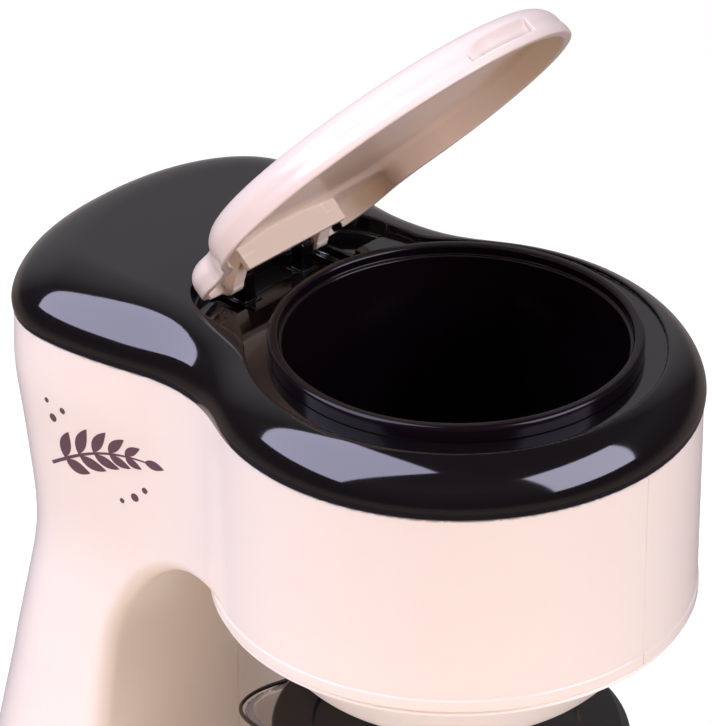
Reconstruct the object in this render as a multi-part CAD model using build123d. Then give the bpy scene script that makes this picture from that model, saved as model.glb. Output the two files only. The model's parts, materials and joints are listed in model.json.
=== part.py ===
from build123d import *
import os
import math

# ---------------------------------------------------------------------------
# Toy coffee maker: round head with a water tank, waisted rear column, base with
# a warming plate, and a loose carafe.  Millimetres, +Z up.  The origin is on the
# resting face, under the axis of the tank and the carafe.  Front is -Y.
# ---------------------------------------------------------------------------

# driving dimensions
WALL = 2.4                # cream shell wall
HEAD_R = 60.2             # black cover radius round the tank
WALL_IN = 0.3             # cream wall sits this far inside the cover's edge
Z_JOIN = 205.5            # joint between cream body and black cover
Z_RING = 222.0            # top of the tank's collar
Z_FLOOR = 217.8           # shallow recess that takes the lid
Z_REAR = 221.4            # flat top behind the lid
Z_HEAD = 152.7            # lower edge of the head's wall
Z_CEIL = 153.2            # ceiling of the bay, between head and column
R_CEIL = 31.0             # how the ceiling turns down into the back wall
Y_BACK = 73.1             # back wall of the bay
Z_BASE = 24.0             # top of the base
BASE_OUT = 13.4           # how far the column's foot flares
COLLAR_R, COLLAR_RI = 45.0, 42.3
TANK_R, TANK_RI = 43.3, 41.4
TANK_Z = 167.0            # underside of the tank
LID_R = 49.6
LID_H = 11.0
LID_WALL = 2.0
LOBE_A, LOBE_B, LOBE_Y, LOBE_N, LOBE_H = 31.5, 24.0, 40.0, 3.0, 8.6
HINGE_Y, HINGE_Z = 59.0, 219.4
PIN_R = 1.2
LUG_R = 2.0
ARM_R = 2.6
LID_OPEN = 48.3           # how far the lid stands open at rest, degrees
LID_Z0 = 218.4            # rim plane of the closed lid
BOWL_R, BOWL_Z = 57.3, 124.9   # dish under the head: top radius, lowest point
BTN_A = -36.0             # direction of the dispense button, degrees from +X
BTN_Z = 160.2
BTN_R = 6.5
BTN_OUT = 2.4             # how far the button stands out of the wall
BTN_TRAVEL = 1.5
CARAFE_TURN = 27.6        # the carafe stands turned by this angle
CAR_X, CAR_Y = -1.2, 1.1  # and a little off the plate's centre
CAR_Z = 26.3              # underside of the carafe
CAR_RIM = 108.8           # top of the carafe's rim

os.makedirs("parts", exist_ok=True)
written = []


def put(name, shape):
    if isinstance(shape, (list, ShapeList)):
        shape = Compound(children=list(shape))
    export_step(shape, f"parts/{name}.step")
    vol = sum(s.volume for s in shape.solids())
    written.append(name)
    print(f"{name:24s} solids {len(shape.solids()):2d}  volume {vol:10.1f}")


def cyl(r, z0, z1, x=0.0, y=0.0):
    return Pos(x, y, (z0 + z1) / 2) * Cylinder(r, z1 - z0)


def box(x0, x1, y0, y1, z0, z1):
    return Pos((x0 + x1) / 2, (y0 + y1) / 2, (z0 + z1) / 2) * Box(x1 - x0, y1 - y0, z1 - z0)


def cyl_x(r, x0, x1, y, z):
    return Pos((x0 + x1) / 2, y, z) * Rot(0, 90, 0) * Cylinder(r, x1 - x0)


def cyl_y(r, y0, y1, x, z):
    return Pos(x, (y0 + y1) / 2, z) * Rot(90, 0, 0) * Cylinder(r, y1 - y0)


# --- plan outline of head and column ---------------------------------------
WAIST = [(50.3, 33.6), (47.45, 39.9), (45.75, 46.8), (45.15, 53.8), (45.8, 60.5),
         (47.1, 67.5), (48.25, 74.5), (49.05, 81.5)]
REAR_Y, REAR_A, REAR_B, REAR_N = 89.72, 49.29, 33.2, 2.154


def right_side():
    pts = []
    for i in range(12):
        a = math.radians(-90 + 115 * i / 11)
        pts.append((HEAD_R * math.cos(a), HEAD_R * math.sin(a)))
    pts += WAIST
    for i in range(9):
        a = math.radians(90 * i / 8)
        c, s = max(math.cos(a), 0.0), math.sin(a)
        pts.append((REAR_A * c ** (2 / REAR_N), REAR_Y + REAR_B * s ** (2 / REAR_N)))
    pts[0] = (0.0, -HEAD_R)
    pts[-1] = (0.0, REAR_Y + REAR_B)
    return pts


RS = right_side()
LOOP = RS + [(-x, y) for x, y in RS[1:-1][::-1]]


def normals():
    n = len(LOOP)
    out = []
    for i in range(n):
        x0, y0 = LOOP[i - 1]
        x1, y1 = LOOP[(i + 1) % n]
        tx, ty = x1 - x0, y1 - y0
        m = math.hypot(tx, ty)
        out.append((ty / m, -tx / m))
    return out


NRM = normals()


def step01(v, a, b):
    t = min(max((v - a) / (b - a), 0.0), 1.0)
    return t * t * (3 - 2 * t)


COL = [(0, 13.4), (24, 13.0), (50, 11.6), (72, 9.2), (87, 6.3), (99, 3.8), (106, 2.4), (113, 1.1),
       (120, -0.4), (128, -2.0), (135, -3.4), (142, -4.35), (149, -4.55), (156, -4.2),
       (163, -3.5), (174, -2.4), (184, -1.2), (194, -0.35), (205.5, -0.3)]


def col_offset(z):
    for (a, da), (b, db) in zip(COL, COL[1:]):
        if z <= b:
            return da + (db - da) * (z - a) / (b - a)
    return COL[-1][1]


def offset_at(i, z):
    y = LOOP[i][1]
    w = step01(y, 40.0, 78.0)
    return -WALL_IN * (1 - w) + col_offset(z) * w


def section(z, off):
    pts = [(x + n[0] * off(i), y + n[1] * off(i)) for i, ((x, y), n) in enumerate(zip(LOOP, NRM))]
    return Pos(0, 0, z) * make_face(Spline(*pts, periodic=True))


def half_section(z, off, x_close):
    pts = [(RS[i][0] + NRM[i][0] * off(i), RS[i][1] + NRM[i][1] * off(i)) for i in range(len(RS))]
    pts[0] = (0.0, pts[0][1])
    pts[-1] = (0.0, pts[-1][1])
    if x_close < 0:
        pts = [(-pts[1][0], pts[1][1])] + pts + [(-pts[-2][0], pts[-2][1])]
        edge = Spline(*pts)
    else:
        edge = Spline(*pts, tangents=[(1, 0), (-1, 0)])
    return Pos(0, 0, z) * make_face([edge, Line(pts[-1], pts[0])])


def body_half(extra, zs, x_close=0.0):
    return loft([half_section(z, lambda i, z=z: offset_at(i, z) + extra, x_close) for z in zs])


ZS = [20.0, 46.0, 70.0, 90.0, 108.0, 124.0, 138.0, 149.0, 160.0, 174.0, 190.0, Z_JOIN]

# --- base plan --------------------------------------------------------------
BASE_R = 62.4


def base_face(inset, z, half=None):
    r = BASE_R - inset
    pts = []
    for i in range(9):
        a = math.radians(-90 + 90 * i / 8)
        pts.append((r * math.cos(a), r * math.sin(a)))
    w = 62.6 - inset
    pts += [(w, 30.0), (w, 60.0)]
    for i in range(9):
        a = math.radians(90 * i / 8)
        c, s = max(math.cos(a), 0.0), math.sin(a)
        pts.append((w * c ** (2 / 2.3), 88.0 + (48.4 - inset) * s ** (2 / 2.3)))
    pts[0] = (0.0, -r)
    pts[-1] = (0.0, 88.0 + 48.4 - inset)
    if half is not None:
        if half < 0:
            pts = [(-pts[1][0], pts[1][1])] + pts + [(-pts[-2][0], pts[-2][1])]
            edge = Spline(*pts)
        else:
            edge = Spline(*pts, tangents=[(1, 0), (-1, 0)])
        return Pos(0, 0, z) * make_face([edge, Line(pts[-1], pts[0])])
    loop = pts + [(-x, y) for x, y in pts[1:-1][::-1]]
    return Pos(0, 0, z) * make_face(Spline(*loop, periodic=True))


# --- cream body -------------------------------------------------------------
outer = body_half(0.0, ZS)
bay = box(-90, 90, -90, Y_BACK, Z_BASE, Z_CEIL)
bay = fillet(bay.edges().filter_by(Axis.X).group_by(Axis.Y)[-1].sort_by(Axis.Z)[-1:], R_CEIL)
bay = fillet(bay.edges().filter_by(Axis.X).group_by(Axis.Y)[-1].sort_by(Axis.Z)[:1], 12.0)
right_of = box(0, 100, -120, 200, -20, 260)
head_low = cyl(HEAD_R - WALL_IN - 0.25, Z_HEAD, Z_CEIL + 2.5) & right_of
base_solid = loft([base_face(1.6, 0.0, 0), base_face(0.0, 3.0, 0), base_face(0.0, 18.5, 0), base_face(1.0, 21.8, 0), base_face(4.5, Z_BASE, 0)], ruled=True)
outer = (outer - bay) + head_low + base_solid

inner = body_half(-WALL, [18.0] + ZS[1:-1] + [Z_JOIN + 3.0], -6.0)
bay_in = box(-90, 90, -90, Y_BACK + WALL, Z_BASE - 10, Z_CEIL + WALL)
bay_in = fillet(bay_in.edges().filter_by(Axis.X).group_by(Axis.Y)[-1].sort_by(Axis.Z)[-1:], R_CEIL + WALL)
head_in = cyl(HEAD_R - WALL_IN - WALL - 0.35, Z_HEAD - 1, Z_CEIL + 6)
base_in = extrude(base_face(WALL + 0.4, -1.0, -6.0), Z_BASE - WALL + 1.0 - 0.6)
shell = outer - (inner - bay_in) - head_in - base_in
shell = shell - Pos(0, 0, 145.05) * Cone(44.5, 57.75, 15.4)   # room for the dish's flank

# seat for the warming plate in the base's top
shell = shell - cyl(41.0, 18.0, 30.0) - cyl(44.4, 22.4, 30.0)

SCREWS = [(96.0, 188.0), (97.0, 122.0), (112.0, 58.0), (-46.0, 12.0), (130.5, 12.0)]

right = shell
left = mirror(shell, about=Plane.YZ)
outer_l = mirror(outer, about=Plane.YZ)
for (y, z) in SCREWS:
    post = cyl_x(4.2, -80, 0.0, y, z) & outer_l
    left = left + (post - cyl_x(1.35, -14.0, 1.0, y, z))
    post = cyl_x(4.6, 0.0, 80, y, z) & outer
    right = (right + post) - cyl_x(1.7, -1.0, 90.0, y, z) - cyl_x(3.3, 10.0, 90.0, y, z)

# hole for the dispense button
bdir = (math.cos(math.radians(BTN_A)), math.sin(math.radians(BTN_A)))


def radial(r, a0, a1):
    """cylinder of radius r along the button's axis from a0 to a1 from the head axis"""
    return Pos(0, 0, BTN_Z) * Rot(0, 0, BTN_A) * Pos((a0 + a1) / 2, 0, 0) * Rot(0, 90, 0) * Cylinder(r, a1 - a0)


right = right - radial(BTN_R + 0.3, 50, 70)

# slot for the power switch in the back of the column
SW_Z = 60.0
SW_Y = REAR_Y + REAR_B + 0.0
sw_hole = box(-7.5, 7.5, 100, 160, SW_Z - 4, SW_Z + 4)
sw_y_out = 122.92 + col_offset(SW_Z)
left = left - sw_hole
right = right - sw_hole


def biggest(s):
    ss = sorted(s.solids(), key=lambda q: -q.volume)
    return ss[0]


left = biggest(left)
right = biggest(right)
put("left_housing", left)
put("right_housing", right)

# --- top cover --------------------------------------------------------------


def edge_r(i):
    y = LOOP[i][1]
    return 14.0 + (18.7 - 14.0) * step01(y, 45.0, 95.0)


def edge_h(i):
    y = LOOP[i][1]
    return 14.0 + 1.9 * step01(y, 30.0, 80.0)


def cover_inset(i, z):
    v = min((z - Z_JOIN) / edge_h(i), 0.9995)
    return -edge_r(i) * (1 - math.sqrt(1 - v * v))


def cover_loft(extra, zs, dz=0.0):
    return loft([section(z, lambda i, z=z: cover_inset(i, z + dz) - extra) for z in zs])


c_out = cover_loft(0.0, [205.5, 208.5, 211.5, 214.0, 216.2, 218.0, 219.3])
# raised flat behind the lid


def rear_top(z, y0, ins):
    pts = [(x - n[0] * ins(i), y - n[1] * ins(i)) for i, ((x, y), n) in enumerate(zip(LOOP, NRM)) if y > 62]
    # order: right side upwards, round the back, left side downwards
    pts = [p for p in pts if p[1] > y0 + 1]
    first, last = pts[0], pts[-1]
    ring = Spline(*pts)
    return Pos(0, 0, z) * make_face([ring, Line(last, (last[0], y0)), Line((last[0], y0), (first[0], y0)), Line((first[0], y0), first)])


rear_lo = rear_top(219.25, 60.0, lambda i: -cover_inset(i, 219.3) - 0.05)
rear_hi = rear_top(Z_REAR, 66.0, lambda i: edge_r(i) - 1.2)
rear = loft([rear_lo, rear_hi], ruled=True)
c_out = c_out + rear
c_in = cover_loft(WALL, [204.5, 207.0, 209.5, 212.0, 214.0, 215.4], dz=1.0)
lip = (cover_loft(WALL + 0.6, [Z_JOIN - 4.0, Z_JOIN + 2.5]) - cover_loft(WALL + 2.4, [Z_JOIN - 4.5, Z_JOIN + 3.0]))


def lobe_face(grow, z, b_grow=None):
    a = LOBE_A + grow
    b = LOBE_B + (grow if b_grow is None else b_grow)
    pts = []
    for i in range(9):
        t = math.radians(90 * i / 8)
        c, s = max(math.cos(t), 0.0), math.sin(t)
        pts.append((a * c ** (2 / LOBE_N), LOBE_Y + b * s ** (2 / LOBE_N)))
    pts[-1] = (0.0, LOBE_Y + b)
    loop = pts + [(-x, y) for x, y in pts[:-1][::-1]]
    ring = Spline(*loop)
    w = a + 4.0
    low = Polyline((-a, LOBE_Y), (-w, 30.0), (-w, 0.0), (w, 0.0), (w, 30.0), (a, LOBE_Y))
    return Pos(0, 0, z) * make_face([ring, low])


block = extrude(lobe_face(2.6, 210.6, 6.0), 7.4) & box(-40, 40, 44.5, 80, 200, 230)
cover = (c_out - c_in) + (block & c_out) + lip
recess = cyl(LID_R + 0.8, Z_FLOOR, 240) + extrude(lobe_face(0.8, Z_FLOOR), 20)
pocket = extrude(lobe_face(0.8, 215.5, 3.4), 20) & box(-60, 60, 50.0, 90, 200, 240)
trough = box(-19.5, 19.5, 47.5, 64.0, 213.0, 240) & (extrude(lobe_face(0.8, 205.0, 3.4), 40))
trough = trough + (box(-19.5, 19.5, 60.0, 70.0, 213.0, 240) & extrude(lobe_face(0.8, 205.0, 3.4), 40))
cover = cover - recess - pocket - trough
cover = cover - cyl(TANK_R + 0.4, 200, 240)
for s in (-1, 1):
    x0, x1 = sorted((s * 12.6, s * 17.8))
    cover = cover - box(x0, x1, 51.0, 66.3, 200, 214)
    xa, xb = sorted((s * 8.6, s * 12.3))
    lug = cyl_x(LUG_R, xa, xb, HINGE_Y, HINGE_Z) + box(xa, xb, HINGE_Y - LUG_R, HINGE_Y + LUG_R, 212.0, HINGE_Z)
    cover = cover + lug
    cover = cover - cyl_x(PIN_R, xa, xb, HINGE_Y, HINGE_Z)
cover = biggest(cover)
put("top_cover", cover)
pins = [cyl_x(PIN_R, min(s * 8.8, s * 17.0), max(s * 8.8, s * 17.0), HINGE_Y, HINGE_Z) for s in (-1, 1)]
put("hinge_pins", pins)

# --- water tank -------------------------------------------------------------
tank = cyl(TANK_R, TANK_Z, Z_FLOOR) + cyl(COLLAR_R, Z_FLOOR, Z_RING)
tank = fillet(tank.edges().filter_by(GeomType.CIRCLE).group_by(Axis.Z)[0], 8.0)
tank = fillet(tank.edges().filter_by(GeomType.CIRCLE).group_by(Axis.Z)[-1], 0.9)
hollow = cyl(TANK_RI, TANK_Z + 2.2, Z_RING - 2.5)
hollow = fillet(hollow.edges().filter_by(GeomType.CIRCLE).group_by(Axis.Z)[0], 6.5)
tank = tank - hollow - cyl(COLLAR_RI, Z_RING - 2.6, Z_RING + 1)
# little stop tab on the inner ledge
tab = (cyl(COLLAR_RI + 0.5, Z_RING - 4.6, Z_RING - 2.5) - cyl(TANK_RI - 2.2, Z_RING - 5, Z_RING)) & (
    Rot(0, 0, 139.0) * box(30, 50, -7, 7, 200, 230))
tank = tank + tab
PUMP = (-20.0, 0.0)
tank = tank + cyl(3.0, 161.5, TANK_Z + 1, *PUMP) - cyl(1.6, 160, TANK_Z + 4, *PUMP)
put("water_tank", biggest(tank))

# --- lid, modelled closed, then stood open ---------------------------------


def lid_solid(grow, h, hl, fil, fil_l, z0):
    d = cyl(LID_R + grow, z0, z0 + h)
    d = fillet(d.edges().filter_by(GeomType.CIRCLE).group_by(Axis.Z)[-1], fil)
    a = LOBE_A + grow
    b = LOBE_B + grow
    pts = []
    for i in range(9):
        t = math.radians(90 * i / 8)
        c, s = max(math.cos(t), 0.0), math.sin(t)
        pts.append((a * c ** (2 / LOBE_N), LOBE_Y + b * s ** (2 / LOBE_N)))
    pts[-1] = (0.0, LOBE_Y + b)
    loop = pts + [(-x, y) for x, y in pts[:-1][::-1]]
    ring = Spline(*loop)
    low = Polyline((-a, LOBE_Y), (-(a + 6.5), 29.0), (-(a + 6.5), 20.0), (a + 6.5, 20.0), (a + 6.5, 29.0), (a, LOBE_Y))
    f = make_face([ring, low])
    lob = extrude(Pos(0, 0, z0) * f, hl - fil_l)
    f2 = Pos(0, 0, z0 + hl - fil_l) * f
    # rounded top of the lobe in two sloped steps
    def shrink(k, z):
        aa, bb = a - k, b - k
        pp = []
        for i in range(9):
            t = math.radians(90 * i / 8)
            c, s = max(math.cos(t), 0.0), math.sin(t)
            pp.append((aa * c ** (2 / LOBE_N), LOBE_Y + bb * s ** (2 / LOBE_N)))
        pp[-1] = (0.0, LOBE_Y + bb)
        lp = pp + [(-x, y) for x, y in pp[:-1][::-1]]
        lw = Polyline((-aa, LOBE_Y), (-(aa + 6.5), 29.0), (-(aa + 6.5), 20.0), (aa + 6.5, 20.0), (aa + 6.5, 29.0), (aa, LOBE_Y))
        return Pos(0, 0, z) * make_face([Spline(*lp), lw])
    zt = z0 + hl - fil_l
    lob = lob + loft([shrink(0, zt), shrink(fil_l * 0.3, zt + fil_l * 0.71)], ruled=True)
    lob = lob + loft([shrink(fil_l * 0.3, zt + fil_l * 0.71), shrink(fil_l, zt + fil_l)], ruled=True)
    return d + lob


lid = lid_solid(0.0, LID_H, LOBE_H, 6.5, 5.0, LID_Z0)
lid = lid - lid_solid(-LID_WALL, LID_H - LID_WALL, LOBE_H - LID_WALL, 5.0, 3.5, LID_Z0 - 0.01)
lid = lid + box(-16.0, 16.0, 47.4, 49.2, LID_Z0, LID_Z0 + 7.2)
for s in (-1, 1):
    x0, x1 = sorted((s * 13.2, s * 17.2))
    arm = cyl_x(ARM_R, x0, x1, HINGE_Y, HINGE_Z)
    arm = arm + box(x0, x1, 47.4, HINGE_Y, LID_Z0, LID_Z0 + 7.0)
    arm = arm + (box(x0, x1, 50.0, HINGE_Y, HINGE_Z - ARM_R, LID_Z0) & cyl_x(6.0 + ARM_R, x0, x1, HINGE_Y, HINGE_Z + 6.0))
    lid = lid + arm - cyl_x(PIN_R + 0.05, x0 - 1, x1 + 1, HINGE_Y, HINGE_Z)
lid = lid - box(-12.7, 12.7, HINGE_Y + 1.0, 68.0, 217.0, 222.6)
lid = biggest(lid)


def swing(shape, deg):
    return Pos(0, HINGE_Y, HINGE_Z) * Rot(-deg, 0, 0) * Pos(0, -HINGE_Y, -HINGE_Z) * shape


put("tank_lid", swing(lid, LID_OPEN))

# --- lower bowl of the head and the outlet ----------------------------------


BOWL = [(BOWL_R, Z_HEAD - 0.05), (50.6, 144.9), (44.0, 137.4), (40.8, 133.9), (37.3, 131.0), (33.0, 128.3), (28.0, 126.2), (23.5, 125.2), (19.0, BOWL_Z)]


def dish(pts):
    return revolve(Plane.XZ * make_face([Spline(*pts), Polyline(pts[-1], (0, pts[-1][1]), (0, pts[0][1]), pts[0])]), Axis.Z)


def inward(pts, w):
    out = []
    for i, (r, z) in enumerate(pts):
        p0, p1 = pts[max(i - 1, 0)], pts[min(i + 1, len(pts) - 1)]
        dr, dz = p1[0] - p0[0], p1[1] - p0[1]
        if i == len(pts) - 1:
            dr, dz = -1.0, 0.0
        k = math.hypot(dr, dz)
        out.append((r + dz / k * w, z - dr / k * w))
    return out


inn = inward(BOWL, WALL)
d0 = (inn[0][0] - inn[1][0]) / (inn[0][1] - inn[1][1])
inn[0] = (inn[1][0] + d0 * (Z_HEAD + 1.0 - inn[1][1]), Z_HEAD + 1.0)
bowl = dish(BOWL) - dish(inn)
ring = cyl(HEAD_R - WALL_IN - WALL - 0.65, Z_HEAD - 0.3, Z_HEAD + 3.2) - cyl(HEAD_R - WALL_IN - WALL - 2.4, Z_HEAD - 3, Z_HEAD + 5)
bowl = bowl + (ring - radial(9.6, 44, 70)) - radial(9.6, 44, 54.6)
bowl = bowl - cyl(11.0, 120, 140)
put("drip_bowl", biggest(bowl))

noz = cyl(14.0, BOWL_Z + WALL, BOWL_Z + WALL + 2.0) + cyl(10.7, 122.0, BOWL_Z + WALL + 1)
noz = noz + Pos(0, 0, 119.0) * Cone(7.0, 10.7, 6.0)
noz = noz - cyl(8.6, 122.5, BOWL_Z + WALL) - cyl(4.6, 110.0, 123.5)
noz = noz + cyl(2.6, BOWL_Z + WALL + 1.5, 143.0, 6.0, 0.0) - cyl(1.4, 125.0, 145.0, 6.0, 0.0)
put("outlet_nozzle", biggest(noz))

# --- pump under the tank ----------------------------------------------------
PX, PY = PUMP
pump = cyl(14.0, 149.0, 160.0, PX, PY) - cyl(11.8, 151.0, 158.4, PX, PY) - cyl(1.05, 148.0, 152.0, PX, PY)
pump = pump + (cyl(3.0, 160.0, 161.4, PX, PY)) - cyl(1.6, 157.0, 165.0, PX, PY)
pump = pump + cyl_x(2.6, PX + 13.0, PX + 19.0, PY, 154.5) - cyl_x(1.4, PX + 10.0, PX + 20.0, PY, 154.5)
put("pump_housing", biggest(pump))
motor = cyl(10.0, 136.6, 149.0, PX, PY) - cyl(1.05, 140.0, 150.0, PX, PY)
put("pump_motor", motor)
imp = cyl(1.0, 141.0, 157.0, PX, PY) + cyl(4.0, 152.0, 157.0, PX, PY)
for k in range(6):
    imp = imp + Pos(PX, PY, 0) * Rot(0, 0, 60 * k) * box(3.0, 10.8, -0.7, 0.7, 152.0, 157.4)
put("pump_impeller", biggest(imp))
suction = cyl(4.6, 160.1, 166.4, PX, PY) - cyl(3.0, 159.0, 167.0, PX, PY)
put("suction_hose", suction)
bend = box(-2.0, 12.0, -6.0, 6.0, 146.5, 160.0)


def hose_solid(r):
    arc = (Pos(-2.0, PY, 146.5) * Rot(90, 0, 0) * Torus(8.0, r)) & bend
    return cyl_x(r, PX + 14.2, -2.0, PY, 154.5) + arc + cyl(r, 136.6, 146.5, 6.0, PY)


hose = hose_solid(3.9) - hose_solid(2.6)
put("outlet_hose", hose)

# --- dispense button and its switch -----------------------------------------
btn = radial(BTN_R, 53.0, HEAD_R - WALL_IN + BTN_OUT)
btn = fillet(btn.edges().filter_by(GeomType.CIRCLE).sort_by(lambda e: e.center().X)[-1:], 1.0)
btn = btn + radial(BTN_R + 2.0, 52.0, 54.0) - radial(BTN_R - 1.8, 50.0, 58.5) + radial(1.6, 52.6, 59.5)
put("dispense_button", biggest(btn))
tact = Pos(0, 0, BTN_Z) * Rot(0, 0, BTN_A) * (Pos(46.5, 0, 0) * Box(4.0, 8, 8) + Pos(49.4, 0, 0) * Rot(0, 90, 0) * Cylinder(1.6, 2.0)
                                               + Pos(43.7, 0, -1.0) * Box(1.6, 22, 12))
put("button_switch", biggest(tact))

# --- base: warming plate, bottom plate, battery box, speaker ------------------
plate = cyl(44.0, 22.5, 26.0) + cyl(40.6, 18.5, 23.0)
plate = fillet(plate.edges().filter_by(GeomType.CIRCLE).group_by(Axis.Z)[-1], 1.2)
plate = plate - cyl(38.4, 17.0, 23.6)
plate = plate - (cyl(33.0, 25.6, 27.0) - cyl(31.6, 25.0, 28.0)) - (cyl(23.0, 25.6, 27.0) - cyl(21.6, 25.0, 28.0))
put("warming_plate", biggest(plate))

bplate = extrude(base_face(WALL + 1.8, 0.0), 2.4)
DOOR = (-27.0, 27.0, 80.0, 120.0)
bplate = bplate - box(DOOR[0] - 0.3, DOOR[1] + 0.3, DOOR[2] - 0.3, DOOR[3] + 0.3, -1, 5)
FEET = [(44.0, -26.0), (-44.0, -26.0), (48.0, 104.0), (-48.0, 104.0)]
for (x, y) in FEET:
    bplate = bplate - cyl(6.6, -1, 1.4, x, y)
for k in range(8):
    for r in (6.0, 12.0):
        a = math.radians(45 * k + (22.5 if r > 10 else 0))
        bplate = bplate - cyl(1.1, -1, 4, r * math.cos(a), r * math.sin(a))
BSCREW = [(52.0, 20.0), (-52.0, 20.0), (44.0, 116.0), (-44.0, 116.0)]
for (x, y) in BSCREW:
    bplate = bplate - cyl(2.9, -1, 1.4, x, y) - cyl(1.6, -1, 4, x, y)
put("base_plate", biggest(bplate))
put("rubber_feet", [cyl(6.5, 0.0, 1.4, x, y) for (x, y) in FEET])
put("base_screws", [cyl(2.7, 0.2, 1.4, x, y) + cyl(1.3, 1.4, 9.0, x, y) - box(x - 0.4, x + 0.4, y - 2.0, y + 2.0, 0.0, 0.8) for (x, y) in BSCREW])

bb = box(-31.5, 31.5, 76.0, 124.0, 2.4, 19.6) - box(-30.0, 30.0, 77.5, 122.5, 2.0, 18.2)
bb = bb + box(-34.0, 34.0, 74.0, 77.0, 2.4, 4.0)
for y in (92.4, 107.6):
    bb = bb + box(-30.2, 30.2, y - 0.4, y + 0.4, 9.0, 18.4)
put("battery_box", biggest(bb))
CELLS = [84.8, 100.0, 115.2]
put("batteries", [cyl_x(7.1, -24.5, 24.5, y, 10.6) + (cyl_x(2.7, 24.5, 26.0, y, 10.6) if i % 2 == 0 else cyl_x(2.7, -26.0, -24.5, y, 10.6))
                  for i, y in enumerate(CELLS)])
contacts = []
for i, y in enumerate(CELLS):
    s = 1 if i % 2 == 0 else -1
    xa, xb = sorted((s * 29.4, s * 29.9))
    c = box(xa, xb, y - 5.5, y + 5.5, 5.0, 16.0)
    xa, xb = sorted((s * 26.1, s * 29.5))
    contacts.append(c + cyl_x(1.6, xa, xb, y, 10.6))
    xa, xb = sorted((-s * 29.4, -s * 29.9))
    c = box(xa, xb, y - 5.5, y + 5.5, 5.0, 16.0)
    for k, rr in enumerate((5.0, 4.2, 3.4, 2.6)):
        xa, xb = sorted((-s * (29.5 - k * 1.2), -s * (28.2 - k * 1.2)))
        c = c + (cyl_x(rr, xa, xb, y, 10.6) - cyl_x(rr - 1.0, xa, xb, y, 10.6) if k == 0 else cyl_x(rr, xa, xb, y, 10.6))
    contacts.append(biggest(c))
put("battery_contacts", contacts)
door = box(DOOR[0], DOOR[1], DOOR[2], DOOR[3], 0.0, 2.0) - cyl(2.9, -1, 0.9, 0, 117.0) - cyl(1.6, -1, 4, 0, 117.0)
put("battery_door", biggest(door))
put("battery_door_screw", cyl(2.7, 0.1, 0.9, 0, 117.0) + cyl(1.3, 0.9, 3.1, 0, 117.0) - box(-0.4, 0.4, 115.2, 118.8, 0.0, 0.5))

spk = cyl(17.0, 2.6, 5.0) + cyl(10.0, 5.0, 10.5)
put("speaker", spk)
pcb = box(-22.0, 22.0, 88.0, 89.6, 80.0, 142.0)
put("circuit_board", pcb)
chips = [box(-8, 8, 84.8, 88.0, 118.0, 132.0), cyl_y(4.0, 80.0, 88.0, 12.0, 104.0), cyl_y(4.0, 80.0, 88.0, -12.0, 104.0),
         box(-16, -6, 83.0, 88.0, 86.0, 92.0)]
put("board_parts", chips)

# --- power switch in the back of the column ----------------------------------
swb = box(-10.0, 10.0, sw_y_out - 9.0, sw_y_out - 5.2, SW_Z - 6, SW_Z + 6)
swb = swb - box(-4.6, 4.6, sw_y_out - 7.4, sw_y_out - 5.0, SW_Z - 2.4, SW_Z + 2.4)
put("power_switch_body", swb)
knob = Pos(-1.2, 0, 0) * box(-1.8, 1.8, sw_y_out - 7.0, sw_y_out - 4.9, SW_Z - 1.9, SW_Z + 1.9)
knob = knob + Pos(-1.2, 0, 0) * box(-2.6, 2.6, sw_y_out - 4.9, sw_y_out + 0.6, SW_Z - 3.4, SW_Z + 3.4)
for k in range(3):
    knob = knob - box(-3.2 + 1.6 * k + 0.4, -3.2 + 1.6 * k + 1.0, sw_y_out + 0.1, sw_y_out + 1.0, SW_Z - 3.0, SW_Z + 3.0)
put("power_switch_knob", biggest(knob))

put("housing_screws", [biggest(cyl_x(2.9, 10.0, 12.0, y, z) + cyl_x(1.3, -9.0, 10.2, y, z) - box(11.4, 13, y - 0.4, y + 0.4, z - 2.2, z + 2.2)
                       - box(11.4, 13, y - 2.2, y + 2.2, z - 0.4, z + 0.4)) for (y, z) in SCREWS])

# --- carafe -----------------------------------------------------------------
# local frame: handle along +X, spout along -X; turned into place at the end
prof = [(0.0, CAR_Z), (34.0, CAR_Z), (40.5, CAR_Z + 2.2), (45.6, CAR_Z + 10.0), (48.6, CAR_Z + 20.0), (49.6, CAR_Z + 31.0),
        (48.6, CAR_Z + 44.0), (46.4, CAR_Z + 57.0), (44.4, CAR_Z + 69.0), (43.8, CAR_Z + 79.5)]
prof_i = [(0.0, CAR_Z + 2.4), (33.0, CAR_Z + 2.4), (38.9, CAR_Z + 4.4), (43.6, CAR_Z + 11.2), (46.5, CAR_Z + 20.6), (47.5, CAR_Z + 31.0),
          (46.5, CAR_Z + 43.6), (44.3, CAR_Z + 56.6), (42.3, CAR_Z + 68.8), (41.7, CAR_Z + 79.5)]
CAR_TOP = CAR_Z + 81.5


def turned(pts, ztop):
    edges = [Line(pts[0], pts[1]), Spline(*pts[1:])]
    edges += [Line(pts[-1], (pts[-1][0], ztop)), Line((pts[-1][0], ztop), (0.0, ztop)), Line((0.0, ztop), pts[0])]
    return revolve(Plane.XZ * make_face(edges), Axis.Z)


car_o = turned(prof, CAR_TOP + 0.5)
car_i = turned(prof_i, CAR_TOP + 3.0)
SP_TIP, SP_W, DIP = 52.8, 16.0, 0.19   # spout: reach, half width, fall of its lip


def below(z):
    """everything under height z; over the spout the limit falls away"""
    f = make_face(Polyline((90.0, -10.0), (90.0, z), (-40.0, z), (-70.0, z - 30.0 * DIP), (-70.0, -10.0), close=True))
    return extrude(Plane.XZ * f, 80.0, both=True)




def beak(k, z0, z1):
    """wedge of the spout, shrunk by k"""
    f = make_face(Polyline((-30.0, -SP_W - 3 + k), (-41.0, -SP_W + k), (-(SP_TIP - 1.6 * k), 0.0), (-41.0, SP_W - k), (-30.0, SP_W + 3 - k), close=True))
    return extrude(Pos(0, 0, z0) * f, z1 - z0)


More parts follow.
